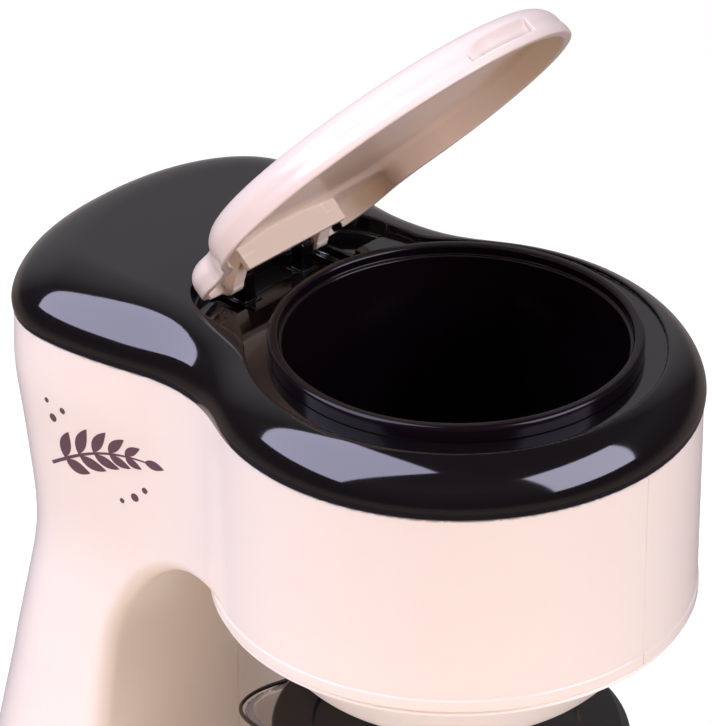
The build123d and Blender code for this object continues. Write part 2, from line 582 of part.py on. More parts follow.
slope = Pos(-44.0, 0, CAR_TOP - 19.0) * Rot(0, 40, 0) * Box(60, 80, 24)
beak_o = beak(0.0, CAR_TOP - 16.0, CAR_TOP + 0.2) - slope
beak_i = beak(1.6, CAR_TOP - 30.0, CAR_TOP + 6.0) - (Pos(0, 0, 2.6) * slope)
car = ((car_o + beak_o) - car_i - (beak_i & box(-80, 0, -40, 40, CAR_TOP - 15, 200))) & below(CAR_TOP)
car = biggest(car)

RIM_T = 2.0
rim_out = cyl(44.6, CAR_TOP - 6, CAR_RIM + 1) + beak(-0.5, CAR_TOP - 6, CAR_RIM + 1)
rim_in = cyl(43.0, CAR_TOP - 7, CAR_RIM + 2) + beak(0.8, CAR_TOP - 7, CAR_RIM + 2)
rim = biggest(((rim_out - rim_in) & below(CAR_RIM)) - below(CAR_TOP))

clid = cyl(43.4, CAR_RIM + 0.1, CAR_RIM + 2.2)
clid = fillet(clid.edges().filter_by(GeomType.CIRCLE).group_by(Axis.Z)[-1], 0.8)
clid = clid + (cyl(41.2, CAR_RIM - 3.6, CAR_RIM + 0.3) - cyl(39.4, CAR_RIM - 6, CAR_RIM + 0.0))
clid = clid - (cyl(33.0, CAR_RIM + 1.3, CAR_RIM + 4)) - cyl(4.0, 90, 130)
clid = biggest(clid)

# handle: closed loop in the radial plane, 13 mm wide
h_out = make_face(Polyline((41.5, 107.6), (66.0, 108.6), (76.0, 104.0), (80.5, 93.0), (79.5, 70.0), (73.0, 54.0), (62.0, 46.0), (46.0, 43.0), close=True))
h_in = make_face(Polyline((40.0, 98.4), (63.0, 99.2), (69.5, 95.5), (72.0, 88.0), (71.2, 71.0), (66.0, 59.5), (58.0, 53.0), (40.0, 51.0), close=True))
han = extrude(Plane.XZ * h_out, 6.5, both=True)
han = han - extrude(Plane.XZ * h_in, 20.0, both=True)
han = han - cyl(44.8, CAR_TOP - 0.2, 130) - turned([(0.0, CAR_Z)] + [(p[0] + 0.02, p[1]) for p in prof[1:]], CAR_TOP + 1.0)
hs = sorted(han.solids(), key=lambda q: -q.volume)
han = hs[0]
band = cyl(46.3, CAR_TOP - 9.0, CAR_TOP - 0.1) - cyl(44.6, CAR_TOP - 10.0, CAR_TOP + 1)
band = band & box(10, 60, -46, 46, 0, 200)
band = band - turned([(0.0, CAR_Z)] + [(p[0] + 0.02, p[1]) for p in prof[1:]], CAR_TOP + 1.0)
han = biggest(han + band) if len((han + band).solids()) == 1 else han


def seat(shape):
    return Pos(CAR_X, CAR_Y, 0) * Rot(0, 0, CARAFE_TURN - 90.0) * shape


put("carafe_body", seat(car))
put("carafe_rim", seat(rim))
put("carafe_lid", seat(clid))
put("carafe_handle", seat(han))

print(len(written), "nodes")
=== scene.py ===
import json
import math

import bpy
import numpy as np
from mathutils import Matrix, Vector

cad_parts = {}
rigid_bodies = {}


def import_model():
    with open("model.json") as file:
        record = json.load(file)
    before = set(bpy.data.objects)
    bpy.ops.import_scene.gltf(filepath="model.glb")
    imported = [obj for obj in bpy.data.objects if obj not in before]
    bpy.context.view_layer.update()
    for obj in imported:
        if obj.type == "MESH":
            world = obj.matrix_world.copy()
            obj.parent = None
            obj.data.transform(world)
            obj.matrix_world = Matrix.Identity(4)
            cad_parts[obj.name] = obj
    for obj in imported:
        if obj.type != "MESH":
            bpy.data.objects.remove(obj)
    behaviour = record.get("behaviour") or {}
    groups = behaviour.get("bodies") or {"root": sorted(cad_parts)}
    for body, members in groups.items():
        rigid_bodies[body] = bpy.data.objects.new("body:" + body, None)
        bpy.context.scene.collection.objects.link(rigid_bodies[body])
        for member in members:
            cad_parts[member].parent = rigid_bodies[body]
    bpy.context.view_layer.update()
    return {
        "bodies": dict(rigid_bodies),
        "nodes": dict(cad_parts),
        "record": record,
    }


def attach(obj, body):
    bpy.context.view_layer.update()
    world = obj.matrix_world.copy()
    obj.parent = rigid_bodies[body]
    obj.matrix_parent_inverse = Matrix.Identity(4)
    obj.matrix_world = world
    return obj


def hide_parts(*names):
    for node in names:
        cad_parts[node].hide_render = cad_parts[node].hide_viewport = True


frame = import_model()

NODES, BODIES = frame["nodes"], frame["bodies"]

# ---------------------------------------------------------------- sizes (mm)
HEAD_R, Z_JOIN, Z_RING, Z_FLOOR, Z_REAR = 60.2, 205.5, 222.0, 217.8, 221.4
Z_HEAD, Z_CEIL, Y_BACK, Z_BASE, WALL, R_CEIL = 152.7, 153.2, 73.1, 24.0, 2.4, 31.0
LID_R, LID_H, LID_WALL, LID_Z0, LID_OPEN = 49.6, 11.0, 2.0, 218.4, 48.3
LOBE_A, LOBE_B, LOBE_Y, LOBE_N, LOBE_H = 31.5, 24.0, 40.0, 3.0, 8.6
HINGE_Y, HINGE_Z, PIN_R, LUG_R, ARM_R = 59.0, 219.4, 1.2, 2.0, 2.6
BTN_A, BTN_Z, BTN_R = -36.0, 160.2, 6.5
CARAFE_TURN, CAR_Z, CAR_TOP, CAR_RIM = 27.6, 26.3, 107.8, 108.8
CAR_X, CAR_Y, DIP = -1.2, 1.1, 0.19
SW_Z = 60.0
SCREWS = [(96.0, 188.0), (97.0, 122.0), (112.0, 58.0), (-46.0, 12.0), (130.5, 12.0)]
WAIST = [(50.3, 33.6), (47.45, 39.9), (45.75, 46.8), (45.15, 53.8), (45.8, 60.5),
         (47.1, 67.5), (48.25, 74.5), (49.05, 81.5)]
REAR_Y, REAR_A, REAR_B, REAR_N = 89.72, 49.29, 33.2, 2.154
COL = np.array([(-5, 13.4), (0, 13.4), (24, 13.0), (50, 11.6), (72, 9.2), (87, 6.3), (99, 3.8), (106, 2.4), (113, 1.1),
                (120, -0.4), (128, -2.0), (135, -3.4), (142, -4.35), (149, -4.55), (156, -4.2),
                (163, -3.5), (174, -2.4), (184, -1.2), (194, -0.35), (205.5, -0.3), (215, -0.3)], float)
f4 = np.float32


# ------------------------------------------------------------ curve helpers
def natural_spline(x, y):
    """second derivatives of a natural cubic spline"""
    n = len(x)
    A = np.zeros((n, n)); b = np.zeros(n)
    A[0, 0] = A[-1, -1] = 1
    for i in range(1, n - 1):
        h0, h1 = x[i] - x[i - 1], x[i + 1] - x[i]
        A[i, i - 1], A[i, i], A[i, i + 1] = h0, 2 * (h0 + h1), h1
        b[i] = 6 * ((y[i + 1] - y[i]) / h1 - (y[i] - y[i - 1]) / h0)
    return np.linalg.solve(A, b)


def spline_eval(x, y, m, t):
    i = np.clip(np.searchsorted(x, t) - 1, 0, len(x) - 2)
    h = x[i + 1] - x[i]
    a, b = (x[i + 1] - t) / h, (t - x[i]) / h
    return a * y[i] + b * y[i + 1] + ((a ** 3 - a) * m[i] + (b ** 3 - b) * m[i + 1]) * h * h / 6


def closed_spline(pts, n):
    """n points on a smooth closed curve through pts"""
    p = np.array(pts, float)
    k = 6
    q = np.vstack([p[-k:], p, p[:k + 1]])
    s = np.concatenate([[0], np.cumsum(np.hypot(*np.diff(q, axis=0).T))])
    t = np.linspace(s[k], s[k + len(p)], n, endpoint=False)
    return np.stack([spline_eval(s, q[:, c], natural_spline(s, q[:, c]), t) for c in (0, 1)], 1)


_zf = np.linspace(-5, 215, 441)
_mcol = natural_spline(COL[:, 0], COL[:, 1])
_colf = spline_eval(COL[:, 0], COL[:, 1], _mcol, _zf)
_k = np.exp(-0.5 * (np.arange(-12, 13) / 5.0) ** 2); _k /= _k.sum()
_colf = np.convolve(np.pad(_colf, 12, mode="edge"), _k, mode="valid")


def col_offset(z):
    return np.interp(z, _zf, _colf)


def step01(v, a, b):
    t = np.clip((v - a) / (b - a), 0, 1)
    return t * t * (3 - 2 * t)


def right_side():
    pts = []
    for i in range(12):
        a = math.radians(-90 + 115 * i / 11)
        pts.append((HEAD_R * math.cos(a), HEAD_R * math.sin(a)))
    pts += WAIST
    for i in range(9):
        a = math.radians(90 * i / 8)
        c, s = max(math.cos(a), 0.0), math.sin(a)
        pts.append((REAR_A * c ** (2 / REAR_N), REAR_Y + REAR_B * s ** (2 / REAR_N)))
    pts[0] = (0.0, -HEAD_R)
    pts[-1] = (0.0, REAR_Y + REAR_B)
    return pts


def base_side():
    r, w, pts = 62.4, 62.6, []
    for i in range(9):
        a = math.radians(-90 + 90 * i / 8)
        pts.append((r * math.cos(a), r * math.sin(a)))
    pts += [(w, 30.0), (w, 60.0)]
    for i in range(9):
        a = math.radians(90 * i / 8)
        c, s = max(math.cos(a), 0.0), math.sin(a)
        pts.append((w * c ** (2 / 2.3), 88.0 + 48.4 * s ** (2 / 2.3)))
    pts[0] = (0.0, -r)
    pts[-1] = (0.0, 136.4)
    return pts


def lobe_side(a, b, n=LOBE_N):
    pts = [(0.0, LOBE_Y - 34.0), (a * 0.55, LOBE_Y - 33.0), (a * 0.93, LOBE_Y - 24.0), (a, LOBE_Y - 10.0)]
    for i in range(9):
        t = math.radians(90 * i / 8)
        c, s = max(math.cos(t), 0.0), math.sin(t)
        pts.append((a * c ** (2 / n), LOBE_Y + b * s ** (2 / n)))
    pts[-1] = (0.0, LOBE_Y + b)
    return pts


class Field:
    """smooth signed distance to a closed plan outline, symmetric about X = 0"""

    def __init__(self, side, h=1.0, pad=16.0, n=420):
        loop = list(side) + [(-x, y) for x, y in side[1:-1][::-1]]
        c = closed_spline(loop, n)
        self.h = h
        self.x0 = -4.0
        self.y0 = c[:, 1].min() - pad
        nx = int((c[:, 0].max() + pad - self.x0) / h) + 3
        ny = int((c[:, 1].max() + pad - self.y0) / h) + 3
        gx, gy = np.meshgrid(self.x0 + h * np.arange(nx), self.y0 + h * np.arange(ny), indexing="ij")
        p = np.stack([gx.ravel(), gy.ravel()], 1)
        a, b = c, np.roll(c, -1, 0)
        ab = b - a
        l2 = (ab ** 2).sum(1)
        nr = np.stack([ab[:, 1], -ab[:, 0]], 1) / np.sqrt(l2)[:, None]
        best = np.full(len(p), 1e9); yy = np.zeros(len(p)); sg = np.zeros(len(p))
        for s in range(0, len(p), 8000):
            q = p[s:s + 8000]
            ap = q[:, None, :] - a[None]
            t = np.clip((ap * ab).sum(2) / l2, 0, 1)
            dv = ap - t[..., None] * ab
            d = np.hypot(dv[..., 0], dv[..., 1])
            j = d.argmin(1)
            r = np.arange(len(q))
            best[s:s + 8000] = d[r, j]
            yy[s:s + 8000] = a[j, 1] + t[r, j] * ab[j, 1]
            sg[s:s + 8000] = (dv[r, j] * nr[j]).sum(1)
        area = 0.5 * np.sum(a[:, 0] * b[:, 1] - b[:, 0] * a[:, 1])
        inside = self._inside(p, c)
        self.d = np.where(inside, -best, best).reshape(nx, ny)
        self.ny = yy.reshape(nx, ny)
        self.curve = c

    @staticmethod
    def _inside(p, c):
        a, b = c, np.roll(c, -1, 0)
        r = np.zeros(len(p), bool)
        for s in range(0, len(p), 20000):
            x, y = p[s:s + 20000, 0][:, None], p[s:s + 20000, 1][:, None]
            cr = ((a[:, 1] > y) != (b[:, 1] > y)) & (x < (b[:, 0] - a[:, 0]) * (y - a[:, 1]) / (b[:, 1] - a[:, 1] + 1e-30) + a[:, 0])
            r[s:s + 20000] = cr.sum(1) % 2 == 1
        return r

    def __call__(self, x, y):
        T, h = self.d, self.h
        u0 = (np.abs(x) - self.x0) / h
        v0 = (y - self.y0) / h
        u = np.clip(u0, 1.0, T.shape[0] - 2.001)
        v = np.clip(v0, 1.0, T.shape[1] - 2.001)
        past = np.hypot(u0 - u, v0 - v) * h
        i = np.clip(u.astype(int), 1, T.shape[0] - 3)
        j = np.clip(v.astype(int), 1, T.shape[1] - 3)
        fu, fv = u - i, v - j

        def w(f):
            f2, f3 = f * f, f * f * f
            # cubic B-spline weights: curvature continuous, so reflections stay smooth
            return ((1 - f) ** 3 / 6, (3 * f3 - 6 * f2 + 4) / 6, (-3 * f3 + 3 * f2 + 3 * f + 1) / 6, f3 / 6)
        wu, wv = w(fu), w(fv)
        out = 0
        for a in range(4):
            row = 0
            for b in range(4):
                row = row + wv[b] * T[i + a - 1, j + b - 1]
            out = out + wu[a] * row
        return out + past


PLAN = Field(right_side(), 1.0)
BASEP = Field(base_side(), 1.5)


# ---------------------------------------------------------- distance fields
def smax(a, b, r):
    """intersection with a circular round of radius r"""
    u, v = np.maximum(r + a, 0), np.maximum(r + b, 0)
    return np.minimum(-r, np.maximum(a, b)) + np.sqrt(u * u + v * v)


def smin(a, b, r):
    """union with a circular fillet of radius r"""
    u, v = np.maximum(r - a, 0), np.maximum(r - b, 0)
    return np.maximum(r, np.minimum(a, b)) - np.sqrt(u * u + v * v)


def rot2(x, y, deg):
    c, s = math.cos(math.radians(deg)), math.sin(math.radians(deg))
    return x * c + y * s, -x * s + y * c


def bar_x(y, z, x, r, x0, x1):
    return np.maximum(np.hypot(y, z) - r, np.maximum(x0 - x, x - x1))


def bay_field(x, y, z, g=0.0):
    """room for the carafe: negative inside"""
    top = smax(y - Y_BACK - g, z - Z_CEIL - g, R_CEIL + g)
    return smax(top, (Z_BASE - g) - z, max(12.0 - g, 1))


def draft(z):
    """how far the head's wall stands inside the cover's widest line"""
    return 0.80 + 0.10 * np.clip((Z_JOIN - z) / 50.0, 0, 1)


def column(x, y, z):
    d = PLAN(x, y)
    w = step01(y, 40.0, 78.0)
    off = -draft(z) * (1 - w) + (col_offset(z) - 0.5 * step01(z, 188.0, 206.0)) * w
    return d - off


def shell_parts(x, y, z):
    A = column(x, y, z)
    bay = bay_field(x, y, z)
    up = smax(A, -bay, 4.5)
    # the head's wall ends in a narrow band that stands a little proud
    hr = np.hypot(x, y) - HEAD_R + draft(z) - 0.30 * (1 - step01(z, Z_HEAD + 3.0, Z_HEAD + 3.6)) + 0.06 * step01(z, Z_HEAD + 4.0, Z_HEAD + 4.8)
    head = smax(hr, Z_HEAD - z, 0.7)
    body = smin(up, head, 0.02 + 2.98 * step01(y, 36.0, 46.0) * (1 - step01(z, 160.0, 166.0)))
    base = smax(BASEP(x, y), z - Z_BASE, 5.0)
    base = smax(base, 0.45 - z, 1.2)
    body = smin(body, base, 1.6)
    body = smax(body, 0.45 - z, 0.4)
    body = np.maximum(body, z - Z_JOIN)
    # the dish's flank needs room in the rounded ceiling
    dish = np.maximum((np.hypot(x, y) - 44.5 - 0.8604 * (z - 137.35)) * 0.758, np.maximum(137.35 - z, z - 152.72))
    body = smax(body, -dish, 0.3)
    cav = np.maximum(up + 3.1, 18.0 - z)
    cav = np.minimum(cav, np.maximum(np.hypot(x, y) - 57.0, Z_HEAD - 1.5 - z))
    cav = np.minimum(cav, np.maximum(BASEP(x, y) + WALL + 0.4, z - 21.0))
    seat = np.minimum(np.maximum(np.hypot(x, y) - 44.4, 22.4 - z), np.maximum(np.hypot(x, y) - 41.0, 17.0 - z))
    return body, cav, seat


def f_housing(side):
    def f(x, y, z):
        body, cav, seat = shell_parts(x, y, z)
        # posts for the housing screws
        post, hole = 1e3, 1e3
        for (sy, sz) in SCREWS:
            rr = np.hypot(y - sy, z - sz)
            post = np.minimum(post, rr - (4.6 if side > 0 else 4.2))
            if side > 0:
                hole = np.minimum(hole, np.minimum(rr - 1.7, np.maximum(rr - 3.3, 10.0 - np.abs(x))))
            else:
                hole = np.minimum(hole, np.maximum(rr - 1.35, np.abs(x) - 14.0))
        room = np.maximum(cav, -post)
        s = smax(body, -room, 0.3)
        s = smax(s, -hole, 0.35)
        s = smax(s, -seat, 0.4)
        if side > 0:
            u, v = rot2(x, y, BTN_A)
            s = smax(s, -np.maximum(np.hypot(v, z - BTN_Z) - BTN_R - 0.3, 40 - u), 0.5)
        s = smax(s, -np.maximum(np.maximum(np.abs(x) - 7.5, np.abs(z - SW_Z) - 4.0), 100 - y), 0.4)
        # parting line: the edge of each half is eased
        s = smax(s, 0.01 - side * x, 0.10)
        return s
    return f


def cover_top(x, y, z):
    rx = 14.0 + 4.7 * step01(y, 45.0, 95.0)
    rz = 14.0 + 1.9 * step01(y, 30.0, 80.0)
    d = PLAN(x, y)
    s, t = d + rx, z - Z_JOIN
    sp = np.maximum(s, 0)
    k = np.sqrt((sp / rx) ** 2 + (np.maximum(t, 0) / rz) ** 2) + 1e-9
    g = np.sqrt((sp / rx ** 2) ** 2 + (np.maximum(t, 0) / rz ** 2) ** 2) / k + 1e-9
    e = (k - 1) / np.maximum(g, 1 / rz * 0.5)
    flat = t - rz
    out = np.where(s <= 0, flat, np.where(t <= 0, d, e))
    return out + 0.70 * (1 - step01(t, -1.0, 3.4)) * step01(s, 6.0, 12.0)


LOBEP = {}


def lobe_field(a, b):
    key = (round(a, 3), round(b, 3))
    if key not in LOBEP:
        LOBEP[key] = Field(lobe_side(a, b), 1.0, 22.0, 260)
    return LOBEP[key]


def cover_cuts(x, y, z, g=0.0):
    """the shallow recess for the lid, the pocket behind it and the trough of the hinge"""
    r = np.hypot(x, y)
    lf = lobe_field(LOBE_A + 0.8, LOBE_B + 0.8)(x, y)
    plan = smin(r - LID_R - 0.8, lf, 3.0) - g
    rec = np.maximum(plan, (Z_FLOOR - g) - z)
    lb = lobe_field(LOBE_A + 0.8, LOBE_B + 4.2)(x, y) - g
    pocket = smax(smax(lb, (215.5 - g) - z, 1.2), (50.0 - g) - y, 1.0)
    tr = smax(smax(np.maximum(np.abs(x) - 19.5 - g, lb), (213.0 - g) - z, 0.8), (47.5 - g) - y, 0.8)
    return rec, pocket, tr


def f_cover(x, y, z):
    top = cover_top(x, y, z)
    rec, pocket, tr = cover_cuts(x, y, z)
    s = smax(top, -rec, 0.7)
    s = smax(s, -pocket, 0.6)
    s = smax(s, -tr, 0.5)
    slots = np.maximum(np.abs(np.abs(x) - 15.2) - 2.6, np.maximum(51.0 - y, y - 66.3))
    s = smax(s, -np.maximum(slots, z - 214.5), 0.35)
    s = smax(s, -(np.hypot(x, y) - 43.7), 0.4)
    rec2, pocket2, tr2 = cover_cuts(x, y, z, 2.2)
    cav = np.maximum(top + WALL, -np.minimum(rec2, np.minimum(pocket2, tr2)))
    s = np.maximum(s, -cav)
    s = smax(s, Z_JOIN + 0.06 - z, 0.45)
    return s


def lid_outer(x, y, z, g=0.0):
    """outside of the lid, closed position; g grows it"""
    r = np.hypot(x, y)
    t = z - LID_Z0
    crown = LID_H - 1.7 * (r / LID_R) ** 2
    rr = 5.6
    # the rim flares a little towards the tip
    bulge = LID_R - 0.1 + 0.65 * (1 - step01(t, 1.4, 4.2)) * step01(-y, -6.0, 22.0)
    disc = smax(r - bulge - g, t - crown - g, rr + g)
    lf = lobe_field(LOBE_A, LOBE_B)(x, y) - g
    ly = np.clip((y - 52.0) / 12.0, -1, 1)
    lobe_top = LOBE_H - 0.9 * (np.abs(x) / LOBE_A) ** 2 - 0.5 * ly * ly
    lobe = smax(lf, t - lobe_top - g, 4.6 + g)
    return smin(disc, lobe, 5.0)


def lid_inner(x, y, z):
    """hollow of the lid: its skirt meets the top in a tight corner"""
    r = np.hypot(x, y)
    t = z - LID_Z0
    disc = smax(r - (LID_R - 0.1 - LID_WALL), t - (LID_H - 1.7 * (r / LID_R) ** 2 - LID_WALL - 0.5), 1.6)
    lf = lobe_field(LOBE_A, LOBE_B)(x, y) + LID_WALL
    ly = np.clip((y - 52.0) / 12.0, -1, 1)
    lobe_top = LOBE_H - 0.9 * (np.abs(x) / LOBE_A) ** 2 - 0.5 * ly * ly - LID_WALL - 0.4
    return smin(disc, smax(lf, t - lobe_top, 1.6), 2.5)


def f_lid(x, y, z):
    t = z - LID_Z0
    o = lid_outer(x, y, z)
    # finger grip let into the skirt at the tip
    r = np.hypot(x, y)
    deep = 1.3 * (1 - step01(t, 4.4, 8.2)) * step01(x, -9.0, -1.5)
    grip = np.maximum(np.maximum(np.abs(x - 2.8) - 11.5, y), np.maximum((LID_R - 0.15 - deep) - r, 2.3 - t))
    o = smax(o, -grip, 0.3)
    i = np.maximum(np.maximum(lid_inner(x, y, z), o + 1.3), 1.7 - grip)
    s = smax(o, -i, 0.7)
    s = smax(s, -t, 0.5)
    # cross rib and hinge arms
    rib = np.maximum(np.maximum(np.abs(x) - 17.3, np.abs(y - 48.3) - 0.9), o + 0.5)
    arm = np.maximum(np.abs(np.abs(x) - 15.2) - 2.0, np.minimum(np.hypot(y - HINGE_Y, z - HINGE_Z) - ARM_R,
                     np.maximum(np.maximum(47.4 - y, y - HINGE_Y), HINGE_Z - ARM_R - z + 0.45 * (HINGE_Y - y))))
    arm = np.maximum(arm, np.minimum(o + 0.4, t - 3.0))
    s = smin(s, smax(rib, -t, 0.35), 0.5)
    s = smin(s, arm, 0.6)
    s = smax(s, -(np.hypot(y - HINGE_Y, z - HINGE_Z) - 1.25), 0.2)
    notch = np.maximum(np.maximum(np.abs(x) - 12.7, HINGE_Y + 1.0 - y), z - 222.6)
    s = smax(s, -notch, 0.4)
    return s


# ------------------------------------------------------------ surface nets
def axis_grid(lo, hi, h, fine=()):
    """grid lines from lo to hi, step h, refined near given places: (at, reach, step)"""
    out = [lo]
    while out[-1] < hi:
        x = out[-1]
        st = h
        for at, reach, fs in fine:
            d = abs(x + 0.5 * fs - at)
            st = min(st, fs + max(0.0, d - reach) * 0.35)
        out.append(x + st)
    return np.array(out)


def mesh_field(f, xs, ys, zs, iters=3, block=7):
    nx, ny, nz = len(xs), len(ys), len(zs)
    D = np.empty((nx, ny, nz), f4)
    bx, by, bz = [list(range(0, n - 1, block)) for n in (nx, ny, nz)]
    cells = []
    for i in bx:
        for j in by:
            for k in bz:
                cells.append((i, min(i + block, nx - 1), j, min(j + block, ny - 1), k, min(k + block, nz - 1)))
    cells = np.array(cells)
    cx = (xs[cells[:, 0]] + xs[cells[:, 1]]) / 2
    cy = (ys[cells[:, 2]] + ys[cells[:, 3]]) / 2
    cz = (zs[cells[:, 4]] + zs[cells[:, 5]]) / 2
    hd = np.sqrt((xs[cells[:, 1]] - xs[cells[:, 0]]) ** 2 + (ys[cells[:, 3]] - ys[cells[:, 2]]) ** 2 + (zs[cells[:, 5]] - zs[cells[:, 4]]) ** 2) / 2
    fc = f(cx, cy, cz)
    act = np.abs(fc) < 1.7 * hd + 0.5
    for c, v in zip(cells[~act], fc[~act]):
        D[c[0]:c[1] + 1, c[2]:c[3] + 1, c[4]:c[5] + 1] = v
    chunk, size = [], 0

    def flush():
        nonlocal chunk, size
        if not chunk:
            return
        X, Y, Z = [], [], []
        for c in chunk:
            g = np.meshgrid(xs[c[0]:c[1] + 1], ys[c[2]:c[3] + 1], zs[c[4]:c[5] + 1], indexing="ij")
            X.append(g[0].ravel()); Y.append(g[1].ravel()); Z.append(g[2].ravel())
        v = f(np.concatenate(X), np.concatenate(Y), np.concatenate(Z))
        p = 0
        for c in chunk:
            sh = (c[1] - c[0] + 1, c[3] - c[2] + 1, c[5] - c[4] + 1)
            m = sh[0] * sh[1] * sh[2]
            D[c[0]:c[1] + 1, c[2]:c[3] + 1, c[4]:c[5] + 1] = v[p:p + m].reshape(sh)
            p += m
        chunk, size = [], 0
    for c in cells[act]:
        chunk.append(c)
        size += (c[1] - c[0] + 1) * (c[3] - c[2] + 1) * (c[5] - c[4] + 1)
        if size > 400000:
            flush()
    flush()
    S = D < 0
    a = S[:-1, :-1, :-1].astype(np.int8)
    cnt = sum(S[i:nx - 1 + i, j:ny - 1 + j, k:nz - 1 + k].astype(np.int8) for i in (0, 1) for j in (0, 1) for k in (0, 1))
    active = (cnt > 0) & (cnt < 8)
    idx = np.full(active.shape, -1, np.int64)
    I, J, K = np.nonzero(active)
    idx[I, J, K] = np.arange(len(I))
    corner = {}
    for i in (0, 1):
        for j in (0, 1):
            for k in (0, 1):
                corner[i, j, k] = D[I + i, J + j, K + k].astype(float)
    X0, X1, Y0, Y1, Z0, Z1 = xs[I], xs[I + 1], ys[J], ys[J + 1], zs[K], zs[K + 1]
    acc = np.zeros((len(I), 3)); num = np.zeros(len(I))
    P = lambda i, j, k: np.stack([np.where(i, X1, X0), np.where(j, Y1, Y0), np.where(k, Z1, Z0)], 1)
    for ax in range(3):
        for p in (0, 1):
            for q in (0, 1):
                c0 = [0, 0, 0]; c1 = [0, 0, 0]
                o = [t for t in range(3) if t != ax]
                c0[o[0]] = c1[o[0]] = p
                c0[o[1]] = c1[o[1]] = q
                c1[ax] = 1
                a, b = corner[tuple(c0)], corner[tuple(c1)]
                m = (a < 0) != (b < 0)
                t = np.where(m, a / np.where(m, a - b, 1), 0)[:, None]
                pa, pb = P(*c0), P(*c1)
                acc += np.where(m[:, None], pa + t * (pb - pa), 0)
                num += m
    V = acc / num[:, None]
    lo = np.stack([X0, Y0, Z0], 1); hi = np.stack([X1, Y1, Z1], 1)
    span = (hi - lo)
    for it in range(iters):
        g, d = gradient(f, V)
        n2 = (g ** 2).sum(1) + 1e-9
        stp = -(d / n2)[:, None] * g
        V = np.clip(V + stp, lo - 0.25 * span, hi + 0.25 * span)
    faces = []
    sx = S[:-1, 1:-1, 1:-1] != S[1:, 1:-1, 1:-1]
    i, j, k = np.nonzero(sx); j = j + 1; k = k + 1
    q = np.stack([idx[i, j - 1, k - 1], idx[i, j, k - 1], idx[i, j, k], idx[i, j - 1, k]], 1)
    fl = S[i, j, k]
    faces.append(np.where(fl[:, None], q, q[:, ::-1]))
    sy = S[1:-1, :-1, 1:-1] != S[1:-1, 1:, 1:-1]
    i, j, k = np.nonzero(sy); i = i + 1; k = k + 1
    q = np.stack([idx[i - 1, j, k - 1], idx[i - 1, j, k], idx[i, j, k], idx[i, j, k - 1]], 1)
    fl = S[i, j, k]
    faces.append(np.where(fl[:, None], q, q[:, ::-1]))
    sz = S[1:-1, 1:-1, :-1] != S[1:-1, 1:-1, 1:]
    i, j, k = np.nonzero(sz); i = i + 1; j = j + 1
    q = np.stack([idx[i - 1, j - 1, k], idx[i, j - 1, k], idx[i, j, k], idx[i - 1, j, k]], 1)
    fl = S[i, j, k]
    faces.append(np.where(fl[:, None], q, q[:, ::-1]))
    F = np.concatenate(faces)
    F = F[(F >= 0).all(1)]
    return V, F


def gradient(f, V, e=0.06):
    x, y, z = V[:, 0], V[:, 1], V[:, 2]
    d = f(x, y, z)
    gx = (f(x + e, y, z) - f(x - e, y, z)) / (2 * e)
    gy = (f(x, y + e, z) - f(x, y - e, z)) / (2 * e)
    gz = (f(x, y, z + e) - f(x, y, z - e)) / (2 * e)
    return np.stack([gx, gy, gz], 1), d


def unit(v):
    return v / np.maximum(np.linalg.norm(v, axis=1, keepdims=True), 1e-9)


def make_object(name, V, F, N=None, smooth=True, xf=None):
    V = np.asarray(V, float)
    if xf is not None:
        R, T = xf
        V = V @ R.T + T
        if N is not None:
            N = N @ R.T
    me = bpy.data.meshes.new(name)
    F = np.asarray(F)
    if F.ndim == 2:
        me.vertices.add(len(V)); me.vertices.foreach_set("co", (V * 0.001).astype(f4).ravel())
        k = F.shape[1]
        me.loops.add(F.size); me.loops.foreach_set("vertex_index", F.astype(np.int32).ravel())
        me.polygons.add(len(F))
        me.polygons.foreach_set("loop_start", np.arange(0, F.size, k, dtype=np.int32))
        me.polygons.foreach_set("loop_total", np.full(len(F), k, np.int32))
        me.update(calc_edges=True)
    me.validate()
    me.polygons.foreach_set("use_smooth", np.full(len(me.polygons), smooth))
    if N is not None and len(me.vertices) == len(N):
        me.normals_split_custom_set_from_vertices([tuple(n) for n in N])
    o = bpy.data.objects.new(name, me)
    bpy.context.scene.collection.objects.link(o)
    return o


def field_object(name, f, xs, ys, zs, xf=None, e=0.12, iters=3):
    V, F = mesh_field(f, xs, ys, zs, iters)
    g, d = gradient(f, V, e)
    return make_object(name, V, F, unit(g), xf=xf)


# ------------------------------------------------------------ lathe and sweep
def arc_pts(c, r, a0, a1, n=6):
    return [(c[0] + r * math.cos(math.radians(a0 + (a1 - a0) * i / n)), c[1] + r * math.sin(math.radians(a0 + (a1 - a0) * i / n))) for i in range(n + 1)]


